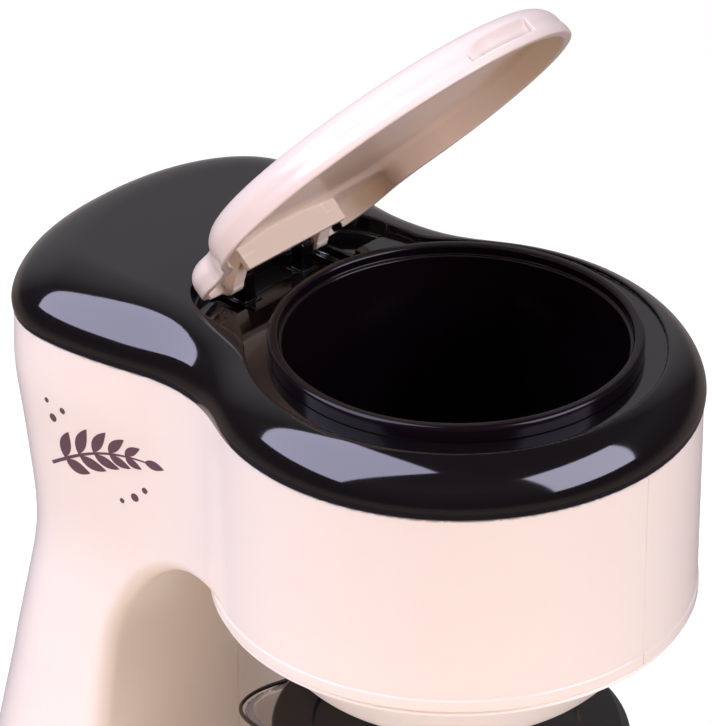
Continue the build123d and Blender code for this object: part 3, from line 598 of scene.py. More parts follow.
def round_profile(pts, closed=True, n=5):
    """pts: (r, z, radius); corners are rounded by their radius"""
    out = []
    m = len(pts)
    for i in range(m):
        p = np.array(pts[i][:2], float)
        rad = pts[i][2] if len(pts[i]) > 2 else 0.0
        if rad <= 0 or (not closed and i in (0, m - 1)):
            out.append(tuple(p)); continue
        a = np.array(pts[i - 1][:2], float); b = np.array(pts[(i + 1) % m][:2], float)
        u, v = a - p, b - p
        lu, lv = np.linalg.norm(u), np.linalg.norm(v)
        u, v = u / lu, v / lv
        cosang = float(np.clip(u @ v, -1, 1))
        half = math.acos(cosang) / 2
        if abs(math.pi / 2 - half) < 0.02:
            out.append(tuple(p)); continue
        t = min(rad / math.tan(half), 0.49 * lu, 0.49 * lv)
        rr = t * math.tan(half)
        c = p + (u + v) / np.linalg.norm(u + v) * (rr / math.sin(half))
        s, e = p + u * t, p + v * t
        a0 = math.atan2(s[1] - c[1], s[0] - c[0]); a1 = math.atan2(e[1] - c[1], e[0] - c[0])
        da = (a1 - a0 + math.pi) % (2 * math.pi) - math.pi
        k = max(2, int(n * abs(da) / 1.2) + 1)
        for q in range(k + 1):
            a_ = a0 + da * q / k
            out.append((c[0] + rr * math.cos(a_), c[1] + rr * math.sin(a_)))
    return out


def lathe(name, prof, n=180, centre=(0, 0), warp=None, xf=None, closed=True):
    """turns a closed profile of (r, z) round the Z axis"""
    prof = [p for i, p in enumerate(prof) if i == 0 or math.dist(p, prof[i - 1]) > 1e-5]
    m = len(prof)
    th = np.linspace(0, 2 * math.pi, n, endpoint=False)
    P = np.array(prof)
    axis = P[:, 0] < 1e-6
    V, ring = [], []
    for i in range(m):
        if axis[i]:
            ring.append([len(V)] * n); V.append((0, 0, P[i, 1]))
        else:
            b = len(V)
            ring.append(list(range(b, b + n)))
            V += [(P[i, 0] * math.cos(t), P[i, 0] * math.sin(t), P[i, 1]) for t in th]
    V = np.array(V, float)
    if warp is not None:
        V = warp(V)
    V[:, 0] += centre[0]; V[:, 1] += centre[1]
    faces = []
    for i in range(m if closed else m - 1):
        j = (i + 1) % m
        if axis[i] and axis[j]:
            continue
        a, b = ring[i], ring[j]
        for k in range(n):
            l = (k + 1) % n
            if axis[i]:
                faces.append((a[0], b[l], b[k]))
            elif axis[j]:
                faces.append((a[k], a[l], b[0]))
            else:
                faces.append((a[k], a[l], b[l], b[k]))
    if xf is not None:
        R, T = xf
        V = V @ R.T + T
    me = bpy.data.meshes.new(name)
    me.from_pydata([tuple(v * 0.001) for v in V], [], faces)
    me.validate()
    import bmesh
    bm = bmesh.new(); bm.from_mesh(me)
    bmesh.ops.recalc_face_normals(bm, faces=bm.faces)
    bm.to_mesh(me); bm.free()
    me.polygons.foreach_set("use_smooth", np.full(len(me.polygons), True))
    o = bpy.data.objects.new(name, me)
    bpy.context.scene.collection.objects.link(o)
    return o


def sharp_by_angle(o, deg=40):
    import bmesh
    bm = bmesh.new(); bm.from_mesh(o.data)
    for e in bm.edges:
        if len(e.link_faces) == 2 and e.calc_face_angle(0) > math.radians(deg):
            e.smooth = False
    bm.to_mesh(o.data); bm.free()


# ------------------------------------------------------------ materials
def nodes_of(name):
    m = bpy.data.materials.new(name)
    m.use_nodes = True
    nt = m.node_tree
    nt.nodes.clear()
    out = nt.nodes.new("ShaderNodeOutputMaterial")
    bs = nt.nodes.new("ShaderNodeBsdfPrincipled")
    nt.links.new(bs.outputs[0], out.inputs[0])
    return m, nt, bs


def ramp(nt, fac, stops):
    r = nt.nodes.new("ShaderNodeValToRGB")
    cr = r.color_ramp
    while len(cr.elements) > len(stops):
        cr.elements.remove(cr.elements[-1])
    while len(cr.elements) < len(stops):
        cr.elements.new(0.5)
    for e, (p, c) in zip(cr.elements, stops):
        e.position = p
        e.color = c if len(c) == 4 else (*c, 1)
    nt.links.new(fac, r.inputs[0])
    return r.outputs[0]


def noise(nt, scale, detail=3.0, rough=0.5, co=None, dist=0.0):
    n = nt.nodes.new("ShaderNodeTexNoise")
    n.inputs["Scale"].default_value = scale
    n.inputs["Detail"].default_value = detail
    n.inputs["Roughness"].default_value = rough
    n.inputs["Distortion"].default_value = dist
    if co is not None:
        nt.links.new(co, n.inputs["Vector"])
    return n


def moulded(name, color, rough=0.3, var=0.03, grain=0.02, orange=0.02, coat=0.0, coat_rough=0.06, spec=0.5, sub=0.0, sub_col=None, rough_var=0.06, specks=0.0):
    """moulded plastic: slow colour drift, orange peel, fine grain and uneven gloss"""
    m, nt, bs = nodes_of(name)
    tc = nt.nodes.new("ShaderNodeTexCoord")
    co = tc.outputs["Object"]
    big = noise(nt, 9.0, 2.0, 0.5, co)
    c = np.array(color)
    lo, hi = tuple(np.clip(c * (1 - var), 0, 1)), tuple(np.clip(c * (1 + var), 0, 1))
    col = ramp(nt, big.outputs["Fac"], [(0.3, lo), (0.7, hi)])
    if specks > 0:
        sp = noise(nt, 900.0, 1.0, 0.4, co)
        mk = ramp(nt, sp.outputs["Fac"], [(0.70, (0, 0, 0)), (0.78, (1, 1, 1))])
        mix = nt.nodes.new("ShaderNodeMix"); mix.data_type = "RGBA"
        nt.links.new(mk, mix.inputs[0]); nt.links.new(col, mix.inputs[6])
        mix.inputs[7].default_value = (*np.clip(c * (1 + specks), 0, 1), 1)
        col = mix.outputs[2]
    nt.links.new(col, bs.inputs["Base Color"])
    rn = noise(nt, 34.0, 2.0, 0.5, co)
    mr = nt.nodes.new("ShaderNodeMapRange")
    mr.inputs["To Min"].default_value = max(rough * (1 - rough_var * 2), 0.0)
    mr.inputs["To Max"].default_value = rough * (1 + rough_var * 2)
    mr.inputs["From Min"].default_value = 0.3; mr.inputs["From Max"].default_value = 0.7
    nt.links.new(rn.outputs["Fac"], mr.inputs["Value"])
    nt.links.new(mr.outputs[0], bs.inputs["Roughness"])
    peel = noise(nt, 130.0, 2.0, 0.45, co)
    fine = noise(nt, 1400.0, 2.0, 0.5, co)
    b1 = nt.nodes.new("ShaderNodeBump"); b1.inputs["Strength"].default_value = orange; b1.inputs["Distance"].default_value = 0.001
    nt.links.new(peel.outputs["Fac"], b1.inputs["Height"])
    b2 = nt.nodes.new("ShaderNodeBump"); b2.inputs["Strength"].default_value = grain; b2.inputs["Distance"].default_value = 0.0002
    nt.links.new(fine.outputs["Fac"], b2.inputs["Height"]); nt.links.new(b1.outputs[0], b2.inputs["Normal"])
    nt.links.new(b2.outputs[0], bs.inputs["Normal"])
    bs.inputs["Specular IOR Level"].default_value = spec
    bs.inputs["Coat Weight"].default_value = coat
    bs.inputs["Coat Roughness"].default_value = coat_rough
    if sub > 0:
        bs.inputs["Subsurface Weight"].default_value = sub
        bs.inputs["Subsurface Radius"].default_value = sub_col or (0.004, 0.002, 0.0012)
        bs.inputs["Subsurface Scale"].default_value = 1.0
    return m


def metal(name, color, rough, aniso=0.0, scale=600.0):
    m, nt, bs = nodes_of(name)
    tc = nt.nodes.new("ShaderNodeTexCoord")
    co = tc.outputs["Object"]
    n = noise(nt, scale, 4.0, 0.7, co)
    c = np.array(color)
    nt.links.new(ramp(nt, n.outputs["Fac"], [(0.3, tuple(c * 0.82)), (0.7, tuple(np.clip(c * 1.08, 0, 1)))]), bs.inputs["Base Color"])
    mr = nt.nodes.new("ShaderNodeMapRange")
    mr.inputs["To Min"].default_value = rough * 0.8; mr.inputs["To Max"].default_value = rough * 1.3
    nt.links.new(n.outputs["Fac"], mr.inputs["Value"]); nt.links.new(mr.outputs[0], bs.inputs["Roughness"])
    b = nt.nodes.new("ShaderNodeBump"); b.inputs["Strength"].default_value = 0.15; b.inputs["Distance"].default_value = 0.0001
    nt.links.new(n.outputs["Fac"], b.inputs["Height"]); nt.links.new(b.outputs[0], bs.inputs["Normal"])
    bs.inputs["Metallic"].default_value = 1.0
    return m


def smoky(name, color, rough=0.06, trans=0.85):
    m, nt, bs = nodes_of(name)
    tc = nt.nodes.new("ShaderNodeTexCoord")
    co = tc.outputs["Object"]
    n = noise(nt, 25.0, 3.0, 0.5, co)
    c = np.array(color)
    nt.links.new(ramp(nt, n.outputs["Fac"], [(0.3, tuple(c * 0.94)), (0.7, tuple(np.clip(c * 1.05, 0, 1)))]), bs.inputs["Base Color"])
    mr = nt.nodes.new("ShaderNodeMapRange")
    mr.inputs["To Min"].default_value = rough * 0.7; mr.inputs["To Max"].default_value = rough * 1.4
    nt.links.new(n.outputs["Fac"], mr.inputs["Value"]); nt.links.new(mr.outputs[0], bs.inputs["Roughness"])
    p = noise(nt, 110.0, 2.0, 0.5, co)
    b = nt.nodes.new("ShaderNodeBump"); b.inputs["Strength"].default_value = 0.02; b.inputs["Distance"].default_value = 0.0006
    nt.links.new(p.outputs["Fac"], b.inputs["Height"]); nt.links.new(b.outputs[0], bs.inputs["Normal"])
    bs.inputs["Transmission Weight"].default_value = trans
    bs.inputs["IOR"].default_value = 1.49
    return m


CREAM = (0.812, 0.738, 0.618)
M = {
    "cream": moulded("cream_plastic", CREAM, 0.30, 0.010, 0.015, 0.012, coat=0.35, coat_rough=0.09, sub=0.06, rough_var=0.015),
    "gloss_black": moulded("black_gloss", (0.0036, 0.0028, 0.0032), 0.075, 0.15, 0.004, 0.006, coat=0.0, spec=0.80, rough_var=0.15),
    "tank_black": moulded("tank_black", (0.0044, 0.0024, 0.0036), 0.16, 0.2, 0.01, 0.012, spec=0.30, rough_var=0.15),
    "satin_black": moulded("satin_black", (0.0070, 0.0050, 0.0052), 0.18, 0.2, 0.02, 0.012, spec=0.34, rough_var=0.12),
    # painted light: the dish's cream is made lighter than the housing's to brighten it in the shade under the head
    "cream_dish": moulded("cream_dish", (0.920, 0.850, 0.765), 0.30, 0.010, 0.015, 0.012, coat=0.35, coat_rough=0.09, sub=0.06, rough_var=0.015),
    "print": moulded("brown_print", (0.120, 0.066, 0.076), 0.42, 0.10, 0.05, 0.01, spec=0.35, specks=0.25),
    "smoke": smoky("carafe_smoke", (0.74, 0.68, 0.63)),
    "steel": metal("screw_steel", (0.62, 0.61, 0.60), 0.28),
    "grey_plastic": moulded("grey_plastic", (0.09, 0.09, 0.095), 0.5, 0.08, 0.2, 0.03, specks=0.3),
    "hose": moulded("hose", (0.62, 0.60, 0.54), 0.45, 0.06, 0.08, 0.04, sub=0.15),
    "foot": moulded("foot_rubber", (0.03, 0.03, 0.03), 0.75, 0.15, 0.5, 0.08, spec=0.3, specks=0.8),
    "cell": moulded("cell_sleeve", (0.05, 0.13, 0.32), 0.3, 0.1, 0.03, 0.03, coat=0.4),
    "contact": metal("contact_plate", (0.78, 0.76, 0.72), 0.16),
    "board": moulded("circuit_board", (0.03, 0.14, 0.05), 0.4, 0.15, 0.1, 0.05, specks=1.5),
}


def paint(o, slot):
    o.data.materials.clear()
    o.data.materials.append(M[slot])
    return o


def piece(o, body, node, slot, mat=None):
    paint(o, slot)
    if mat is not None:
        o.data.materials.clear(); o.data.materials.append(mat)
    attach(o, body)
    if node:
        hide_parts(*([node] if isinstance(node, str) else node))
    return o


SLOT = {s["node"]: s.get("material_slot", s["node"]) for s in frame["record"]["subparts"]}
for n, o in NODES.items():
    if SLOT.get(n) in M:
        o.data.materials.clear()
        o.data.materials.append(M[SLOT[n]])

ROOT = "machine"
H = 1.15

# ------------------------------------------------------------ cream housing
xs = axis_grid(-0.45, 66.5, H, [(0.0, 0.5, 0.11), (7.5, 0.4, 0.35)])
ys = axis_grid(-65.0, 139.5, H)
zs = axis_grid(-2.0, 207.5, H, [(Z_HEAD, 0.6, 0.3), (Z_HEAD + 3.3, 0.5, 0.25), (SW_Z - 4.0, 0.4, 0.35), (SW_Z + 4.0, 0.4, 0.35), (Z_BASE, 2.0, 0.8), (Z_JOIN, 0.3, 0.5)])
o = field_object("right_shell", f_housing(1), xs, ys, zs, iters=2)
piece(o, ROOT, "right_housing", "cream")
o = field_object("left_shell", f_housing(-1), -xs[::-1], ys, zs, iters=2)
piece(o, ROOT, "left_housing", "cream")

# ------------------------------------------------------------ printed sprig on the left side
SPRIG_Y, SPRIG_Z = 75.5, 176.5


def on_side(u, v, h):
    """u to the front, v up, h over the left side of the column"""
    y, z = SPRIG_Y - u, SPRIG_Z + v
    x = np.full_like(y, 48.0)
    for _ in range(8):
        f0 = column(x, y, z)
        x = x - f0 / np.maximum((column(x + 0.05, y, z) - f0) / 0.05, 0.3)
    P = np.stack([x, y, z], 1)
    g, _d = gradient(column, P, 0.3)
    P = P + unit(g) * np.asarray(h)[:, None]
    P[:, 0] *= -1
    return P


def strip(c, w):
    """thin closed solid along a centre line c (k, 2) with half widths w (k)"""
    c, w = np.asarray(c, float), np.asarray(w, float)
    t = np.gradient(c, axis=0); t /= np.maximum(np.linalg.norm(t, axis=1, keepdims=True), 1e-9)
    nrm = np.stack([-t[:, 1], t[:, 0]], 1)
    k, m = len(c), 5
    lat = np.linspace(-1, 1, m)
    uv = (c[:, None, :] + nrm[:, None, :] * (w[:, None] * lat[None])[..., None]).reshape(-1, 2)
    top = on_side(uv[:, 0], uv[:, 1], np.full(len(uv), 0.06))
    low = on_side(uv[:, 0], uv[:, 1], np.full(len(uv), -0.25))
    V = np.vstack([top, low]); b = k * m
    F = []
    for i in range(k - 1):
        for j in range(m - 1):
            q = (i * m + j, (i + 1) * m + j, (i + 1) * m + j + 1, i * m + j + 1)
            F.append(q); F.append(tuple(b + a for a in q[::-1]))
        for j, fl in ((0, False), (m - 1, True)):
            q = (i * m + j, b + i * m + j, b + (i + 1) * m + j, (i + 1) * m + j)
            F.append(q[::-1] if fl else q)
    for i, fl in ((0, False), (k - 1, True)):
        for j in range(m - 1):
            q = (i * m + j, i * m + j + 1, b + i * m + j + 1, b + i * m + j)
            F.append(q[::-1] if fl else q)
    return V, F


def sprig():
    parts = []
    stem = lambda t: np.stack([-15.5 + 30.0 * t, -6.5 + 9.0 * t + 4.2 * np.sin(t * 2.6)], 1)
    t = np.linspace(0, 1, 40)
    parts.append((stem(t), 0.22 + 0.26 * (1 - t)))
    q = np.linspace(0, 1, 13)
    for i, a in enumerate((0.16, 0.32, 0.48, 0.64, 0.80)):
        base = stem(np.array([a, a + 0.01]))
        d = math.degrees(math.atan2(*(base[1] - base[0])[::-1]))
        for side in (1, -1):
            ln = (8.6, 9.2, 8.6, 7.2, 5.6)[i] * (1.0 if side > 0 else 0.86)
            an = math.radians(d + side * (52 - 3 * i))
            bend = side * -0.22
            L = ln * q
            c = np.stack([base[0, 0] + L * math.cos(an) - bend * L * q * math.sin(an) * 0.8, base[0, 1] + L * math.sin(an) + bend * L * q * math.cos(an) * 0.8], 1)
            c += 0.5 * np.array([math.cos(an), math.sin(an)])
            parts.append((c, 0.06 + (1.75 - 0.16 * i) * np.sin(np.pi * q ** 0.85) ** 0.9))
    tip = stem(np.array([0.995, 1.0]))
    d = tip[1] - tip[0]; d /= np.linalg.norm(d)
    parts.append((tip[1] + d * (6.0 * q)[:, None], 0.06 + 1.25 * np.sin(np.pi * q ** 0.85)))
    for (u, v, r) in ((-13.0, 8.0, 1.15), (-9.4, 11.4, 0.85), (-14.6, 12.6, 0.7), (10.5, -7.2, 1.15), (13.8, -4.0, 0.85), (6.4, -9.6, 0.7)):
        a = np.linspace(-math.pi / 2, math.pi / 2, 11)
        parts.append((np.stack([u + r * np.sin(a), v + 0 * a], 1), r * np.cos(a) + 0.03))
    V, F, b = [], [], 0
    for c, w in parts:
        v, f = strip(c, w)
        V.append(v); F += [tuple(b + k for k in q_) for q_ in f]; b += len(v)
    return np.vstack(V), F


V, F = sprig()
me = bpy.data.meshes.new("printed_sprig")
me.from_pydata([tuple(v * 0.001) for v in V], [], F)
me.validate()
import bmesh
bm = bmesh.new(); bm.from_mesh(me)
bmesh.ops.recalc_face_normals(bm, faces=bm.faces)
bm.to_mesh(me); bm.free()
me.polygons.foreach_set("use_smooth", np.full(len(me.polygons), True))
o = bpy.data.objects.new("printed_sprig", me)
bpy.context.scene.collection.objects.link(o)
sharp_by_angle(o, 40)
piece(o, ROOT, None, "cream", M["print"])

# ------------------------------------------------------------ black cover
hc = 0.62
xs = axis_grid(-62.5, 62.5, hc)
ys = axis_grid(-62.5, 125.5, hc)
zs = axis_grid(204.6, 223.5, hc, [(Z_FLOOR + 0.8, 1.5, 0.3)])
o = field_object("black_cover", f_cover, xs, ys, zs)
piece(o, ROOT, "top_cover", "gloss_black")


def f_lugs(x, y, z):
    ax = np.abs(x)
    neck = np.maximum(np.abs(ax - 10.45) - 1.85, np.minimum(np.hypot(y - HINGE_Y, z - HINGE_Z) - LUG_R, np.maximum(np.abs(y - HINGE_Y) - LUG_R, np.maximum(z - HINGE_Z, 212.2 - z))))
    foot = np.maximum(np.maximum(np.abs(ax - 10.45) - 3.0, np.abs(y - HINGE_Y) - 3.2), np.maximum(z - 213.3, 211.5 - z))
    return smin(neck, foot, 0.6)


xs = axis_grid(-14.5, 14.5, 0.4); ys = axis_grid(54.5, 63.5, 0.4); zs = axis_grid(210.5, 222.5, 0.4)
o = field_object("hinge_lugs", f_lugs, xs, ys, zs)
piece(o, ROOT, None, "gloss_black")

# ------------------------------------------------------------ water tank
prof = round_profile([(0, 167.0), (43.3, 167.0, 8.0), (43.3, 217.8, 0.15), (45.0, 217.8, 0.3), (45.0, 222.0, 1.1), (42.3, 222.0, 0.9), (42.3, 219.6, 0.35),
                      (41.4, 219.3, 0.5), (41.4, 169.2, 6.5), (0, 169.2)], closed=False, n=9)
o = lathe("tank_shell", prof, 256, closed=False)
piece(o, ROOT, "water_tank", "tank_black")

# ------------------------------------------------------------ lid
ca, sa = math.cos(math.radians(-LID_OPEN)), math.sin(math.radians(-LID_OPEN))
RL = np.array([[1, 0, 0], [0, ca, -sa], [0, sa, ca]])
TL = np.array([0, HINGE_Y, HINGE_Z]) - RL @ np.array([0, HINGE_Y, HINGE_Z])
hl = 0.5
xs = axis_grid(-52, 52, hl)
ys = axis_grid(-52, 68, hl)
zs = axis_grid(211.5, 232, hl, [(LID_Z0 + 0.4, 0.9, 0.22)])
o = field_object("lid_shell", f_lid, xs, ys, zs, xf=(RL, TL))


def lid_painted_shade(base):
    """cream of the lid with painted shade: its hollow gets a painted shadow that is darkest in a band near the hinge,
    and its outside is painted slightly darker
    """
    m = base.copy(); m.name = "cream_lid"
    nt = m.node_tree
    bs = next(k for k in nt.nodes if k.type == "BSDF_PRINCIPLED")
    src = bs.inputs["Base Color"].links[0].from_socket
    tc = next(k for k in nt.nodes if k.type == "TEX_COORD")
    fwd = RL @ np.array([0.0, -1.0, 0.0])
    mid = (RL @ np.array([0.0, 0.0, 214.0]) + TL) * 0.001
    rel = nt.nodes.new("ShaderNodeVectorMath"); rel.operation = "SUBTRACT"
    nt.links.new(tc.outputs["Object"], rel.inputs[0]); rel.inputs[1].default_value = tuple(mid)
    dn = nt.nodes.new("ShaderNodeVectorMath"); dn.operation = "DOT_PRODUCT"
    nt.links.new(tc.outputs["Normal"], dn.inputs[0]); nt.links.new(rel.outputs[0], dn.inputs[1])
    deep = nt.nodes.new("ShaderNodeMath"); deep.operation = "MULTIPLY"
    nt.links.new(dn.outputs["Value"], deep.inputs[0]); deep.inputs[1].default_value = -20.0
    mask = ramp(nt, deep.outputs[0], [(0.13, (0, 0, 0)), (0.22, (1, 1, 1))])
    sub = nt.nodes.new("ShaderNodeVectorMath"); sub.operation = "SUBTRACT"
    nt.links.new(tc.outputs["Object"], sub.inputs[0]); sub.inputs[1].default_value = (0.0, HINGE_Y * 0.001, HINGE_Z * 0.001)
    al = nt.nodes.new("ShaderNodeVectorMath"); al.operation = "DOT_PRODUCT"
    nt.links.new(sub.outputs[0], al.inputs[0]); al.inputs[1].default_value = tuple(fwd / 0.108)
    # painted shadow along the hollow: a dark band near the hinge, back to full cream towards the tip
    painted_hinge_shadow = ramp(nt, al.outputs["Value"], [(0.10, (0.94, 0.86, 0.77)), (0.13, (0.84, 0.75, 0.66)), (0.18, (0.56, 0.48, 0.42)), (0.23, (0.66, 0.58, 0.51)), (0.31, (0.92, 0.87, 0.82)), (0.44, (1, 1, 1)), (1.0, (1, 1, 1))])
    # painted shade: the outside (mask 0) is painted slightly darker to dim its lit top, and the hollow (mask 1) takes
    # the painted shadow
    painted_tone = nt.nodes.new("ShaderNodeMix"); painted_tone.data_type = "RGBA"
    nt.links.new(mask, painted_tone.inputs[0]); painted_tone.inputs[6].default_value = (0.93, 0.89, 0.89, 1); nt.links.new(painted_hinge_shadow, painted_tone.inputs[7])
    mul = nt.nodes.new("ShaderNodeMix"); mul.data_type = "RGBA"; mul.blend_type = "MULTIPLY"
    mul.inputs[0].default_value = 1.0
    nt.links.new(src, mul.inputs[6]); nt.links.new(painted_tone.outputs[2], mul.inputs[7])
    nt.links.new(mul.outputs[2], bs.inputs["Base Color"])
    return m


M["cream_lid"] = lid_painted_shade(M["cream"])
piece(o, "lid", "tank_lid", "cream", M["cream_lid"])

# ------------------------------------------------------------ bowl under the head
def spline_path(pts, n, flat_end=True):
    """n points along a smooth curve; flat_end levels the last stretch"""
    q = np.array(pts, float)
    if flat_end:
        q = np.vstack([q, [2 * q[-1, 0] - q[-2, 0], q[-1, 1] + (q[-2, 1] - q[-1, 1])]])
    sl = np.concatenate([[0], np.cumsum(np.hypot(*np.diff(q, axis=0).T))])
    t = np.linspace(0, sl[len(pts) - 1], n)
    return np.stack([spline_eval(sl, q[:, c], natural_spline(sl, q[:, c]), t) for c in (0, 1)], 1)


BOWL = [(57.3, 152.62), (50.6, 144.9), (44.0, 137.4), (40.8, 133.9), (37.3, 131.0), (33.0, 128.3), (28.0, 126.2), (23.5, 125.2), (19.0, 124.9)]
bo = spline_path(BOWL, 40)
bt = np.gradient(bo, axis=0); bt /= np.linalg.norm(bt, axis=1, keepdims=True); bt[-1] = (-1, 0)
bi = bo + np.stack([bt[:, 1], -bt[:, 0]], 1) * 2.3
bo_out = [tuple(p) for p in bo if p[1] < 150.0]
prof = [(56.2, 152.95), (57.2, 152.25)] + arc_pts((58.0, 151.6), 0.65, 90, -41, 6) + bo_out + [(11.4, 124.9), (11.0, 125.3), (11.0, 127.2)] + [tuple(p) for p in bi[::-1][:-1]] + [(54.9, 153.0), (55.2, 155.9), (56.6, 155.9), (56.6, 153.1)]
o = lathe("bowl_shell", prof, 220)
sharp_by_angle(o, 50)
# the dish uses the cream painted lighter to lift the shade under the head
piece(o, ROOT, "drip_bowl", "cream", M["cream_dish"])


# ------------------------------------------------------------ carafe
def seat_xf(extra=0.0):
    a = math.radians(CARAFE_TURN - 90.0 + extra)
    return np.array([[math.cos(a), -math.sin(a), 0], [math.sin(a), math.cos(a), 0], [0, 0, 1]]), np.array([CAR_X, CAR_Y, 0.0])



CARP = [(0.0, CAR_Z), (20.0, CAR_Z), (34.0, CAR_Z + 0.1), (40.5, CAR_Z + 2.4), (45.6, CAR_Z + 10.0), (48.6, CAR_Z + 20.0), (49.6, CAR_Z + 31.0),
        (48.6, CAR_Z + 44.0), (46.4, CAR_Z + 57.0), (44.4, CAR_Z + 69.0), (43.8, CAR_Z + 79.5), (43.8, CAR_Z + 92.0), (30.0, CAR_Z + 101.0), (0.0, CAR_Z + 102.0)]
CARF = Field(CARP, 1.0, 10.0, 260)
SP_TIP, SP_W = 53.2, 16.0


def beak(x, y, z, grow=0.0):
    """blunt V of the spout, pointing to -X; its reach shrinks downwards"""
    drop = np.maximum(CAR_TOP - z, 0.0)
    reach = SP_TIP + grow - 0.55 * drop - 0.02 * drop * drop
    v = y - 1.2 * step01(-x, 40.0, 52.0)
    k = 15.5 + 1.6 * grow
    a = (v * v / k - x - reach) / np.sqrt(1 + (2 * v / k) ** 2)
    return np.maximum(a, x + 20.0)


def lip(x, z, top):
    """height over the rim; the rim falls away over the spout"""
    u = np.maximum(-x - 40.0, 0.0)
    return z - top + DIP * u * u / (u + 2.0)


def car_out(x, y, z, grow=0.0):
    c = CARF(np.hypot(x, y), z) - grow
    return smin(c, np.maximum(beak(x, y, z, grow * 1.3), CAR_TOP - 24.0 - z), 5.0)


def f_carafe(x, y, z):
    o = car_out(x, y, z)
    s = smax(o, -(car_out(x, y, z, -2.0)), 0.4)
    return smax(s, lip(x, z, CAR_TOP - 0.02), 0.2)


def f_rim(x, y, z):
    c = np.hypot(x, y)
    zz = np.full_like(z, CAR_TOP)
    out = smin(c - 44.4, beak(x, y, zz, 0.35), 3.0)
    inn = smin(c - 43.05, beak(x, y, zz, -0.65), 2.4)
    s = smax(out, -inn, 0.35)
    s = smax(s, lip(x, z, CAR_RIM), 0.45)
    return smax(s, -lip(x, z, CAR_TOP), 0.3)


hcf = 0.9
xs = axis_grid(-56.5, 51.5, hcf); ys = axis_grid(-51.5, 51.5, hcf)
zs = axis_grid(CAR_Z - 1.5, CAR_TOP + 1.5, hcf, [(CAR_TOP - 1.0, 1.6, 0.35)])
o = field_object("carafe_shell", f_carafe, xs, ys, zs, xf=seat_xf())
piece(o, "carafe", "carafe_body", "smoke")
hr = 0.45
xs = axis_grid(-56.5, 47.0, hr); ys = axis_grid(-47.0, 47.0, hr); zs = axis_grid(CAR_TOP - 4.2, CAR_RIM + 0.8, 0.24)
o = field_object("carafe_band", f_rim, xs, ys, zs, xf=seat_xf())
piece(o, "carafe", "carafe_rim", "gloss_black")

T = CAR_RIM
prof = round_profile([(4.0, T + 1.3, 0.2), (32.6, T + 1.3, 0.4), (33.4, T + 2.2, 0.5), (43.4, T + 2.2, 0.9), (43.4, T + 0.1, 0.25), (41.2, T + 0.1, 0.1), (41.2, T - 3.6, 0.3),
                      (39.4, T - 3.6, 0.3), (39.4, T - 0.1, 0.5), (4.0, T - 0.1, 0.2)], n=6)
o = lathe("carafe_cap", prof, 220, xf=seat_xf())
sharp_by_angle(o, 60)
piece(o, "carafe_lid", "carafe_lid", "gloss_black", M["satin_black"])


def sweep(name, path, half_w, half_t, n=36, m=90, power=2.6, taper=None, xf=None):
    """closed band along a smooth path in the local XZ plane; superellipse section"""
    p = np.array(path, float)
    s = np.concatenate([[0], np.cumsum(np.hypot(*np.diff(p, axis=0).T))])
    t = np.linspace(0, s[-1], m)
    c = np.stack([spline_eval(s, p[:, k], natural_spline(s, p[:, k]), t) for k in (0, 1)], 1)
    tg = np.gradient(c, axis=0); tg /= np.linalg.norm(tg, axis=1, keepdims=True)
    nn = np.stack([-tg[:, 1], tg[:, 0]], 1)
    V, F = [], []
    for i in range(m):
        k = 1.0 if taper is None else taper(i / (m - 1))
        for j in range(n):
            a = 2 * math.pi * j / n
            ca_, sa_ = math.cos(a), math.sin(a)
            u = half_t * k * math.copysign(abs(ca_) ** (2 / power), ca_)
            v = half_w * (0.85 + 0.15 * k) * math.copysign(abs(sa_) ** (2 / power), sa_)
            V.append((c[i, 0] + nn[i, 0] * u, v, c[i, 1] + nn[i, 1] * u))
    for i in range(m - 1):
        for j in range(n):
            l = (j + 1) % n
            F.append((i * n + j, i * n + l, (i + 1) * n + l, (i + 1) * n + j))
    b = len(V); V.append(tuple(np.mean(V[:n], 0))); V.append(tuple(np.mean(V[(m - 1) * n:m * n], 0)))
    for j in range(n):
        l = (j + 1) % n
        F.append((b, l, j)); F.append((b + 1, (m - 1) * n + j, (m - 1) * n + l))
    V = np.array(V)
    if xf is not None:
        V = V @ xf[0].T + xf[1]
    me = bpy.data.meshes.new(name)
    me.from_pydata([tuple(v * 0.001) for v in V], [], F)
    import bmesh
    bm = bmesh.new(); bm.from_mesh(me)
    bmesh.ops.recalc_face_normals(bm, faces=bm.faces)
    bm.to_mesh(me); bm.free()
    me.polygons.foreach_set("use_smooth", np.full(len(me.polygons), True))
    o = bpy.data.objects.new(name, me)
    bpy.context.scene.collection.objects.link(o)
    return o


hp = [(45.6, 103.0), (54.0, 103.5), (63.5, 103.4), (70.4, 100.6), (74.4, 94.0), (75.8, 84.0), (75.3, 72.0), (72.0, 62.0), (66.0, 54.6), (58.5, 50.3), (49.6, 48.6)]
o = sweep("carafe_grip", hp, 6.4, 4.4, taper=lambda q: 1.0 + 0.25 * math.exp(-(q / 0.08) ** 2) + 0.12 * math.exp(-((1 - q) / 0.08) ** 2), xf=seat_xf())
piece(o, "carafe", "carafe_handle", "gloss_black")

# collar band that ties the handle to the jug
def f_band(x, y, z):
    r = np.hypot(x, y)
    s = np.maximum(CARF(r, z) - 1.9, -(CARF(r, z) - 0.06))
    s = smax(s, np.abs(z - (CAR_TOP - 4.6)) - 4.3, 0.5)
    return smax(s, np.abs(np.degrees(np.arctan2(y, x))) * 0.7 - 44.0, 0.8)


xs = axis_grid(8.0, 48.5, 0.55); ys = axis_grid(-48.0, 48.0, 0.55); zs = axis_grid(CAR_TOP - 10.5, CAR_TOP + 0.6, 0.5)
o = field_object("carafe_clamp", f_band, xs, ys, zs, xf=seat_xf())
piece(o, "carafe", None, "gloss_black")

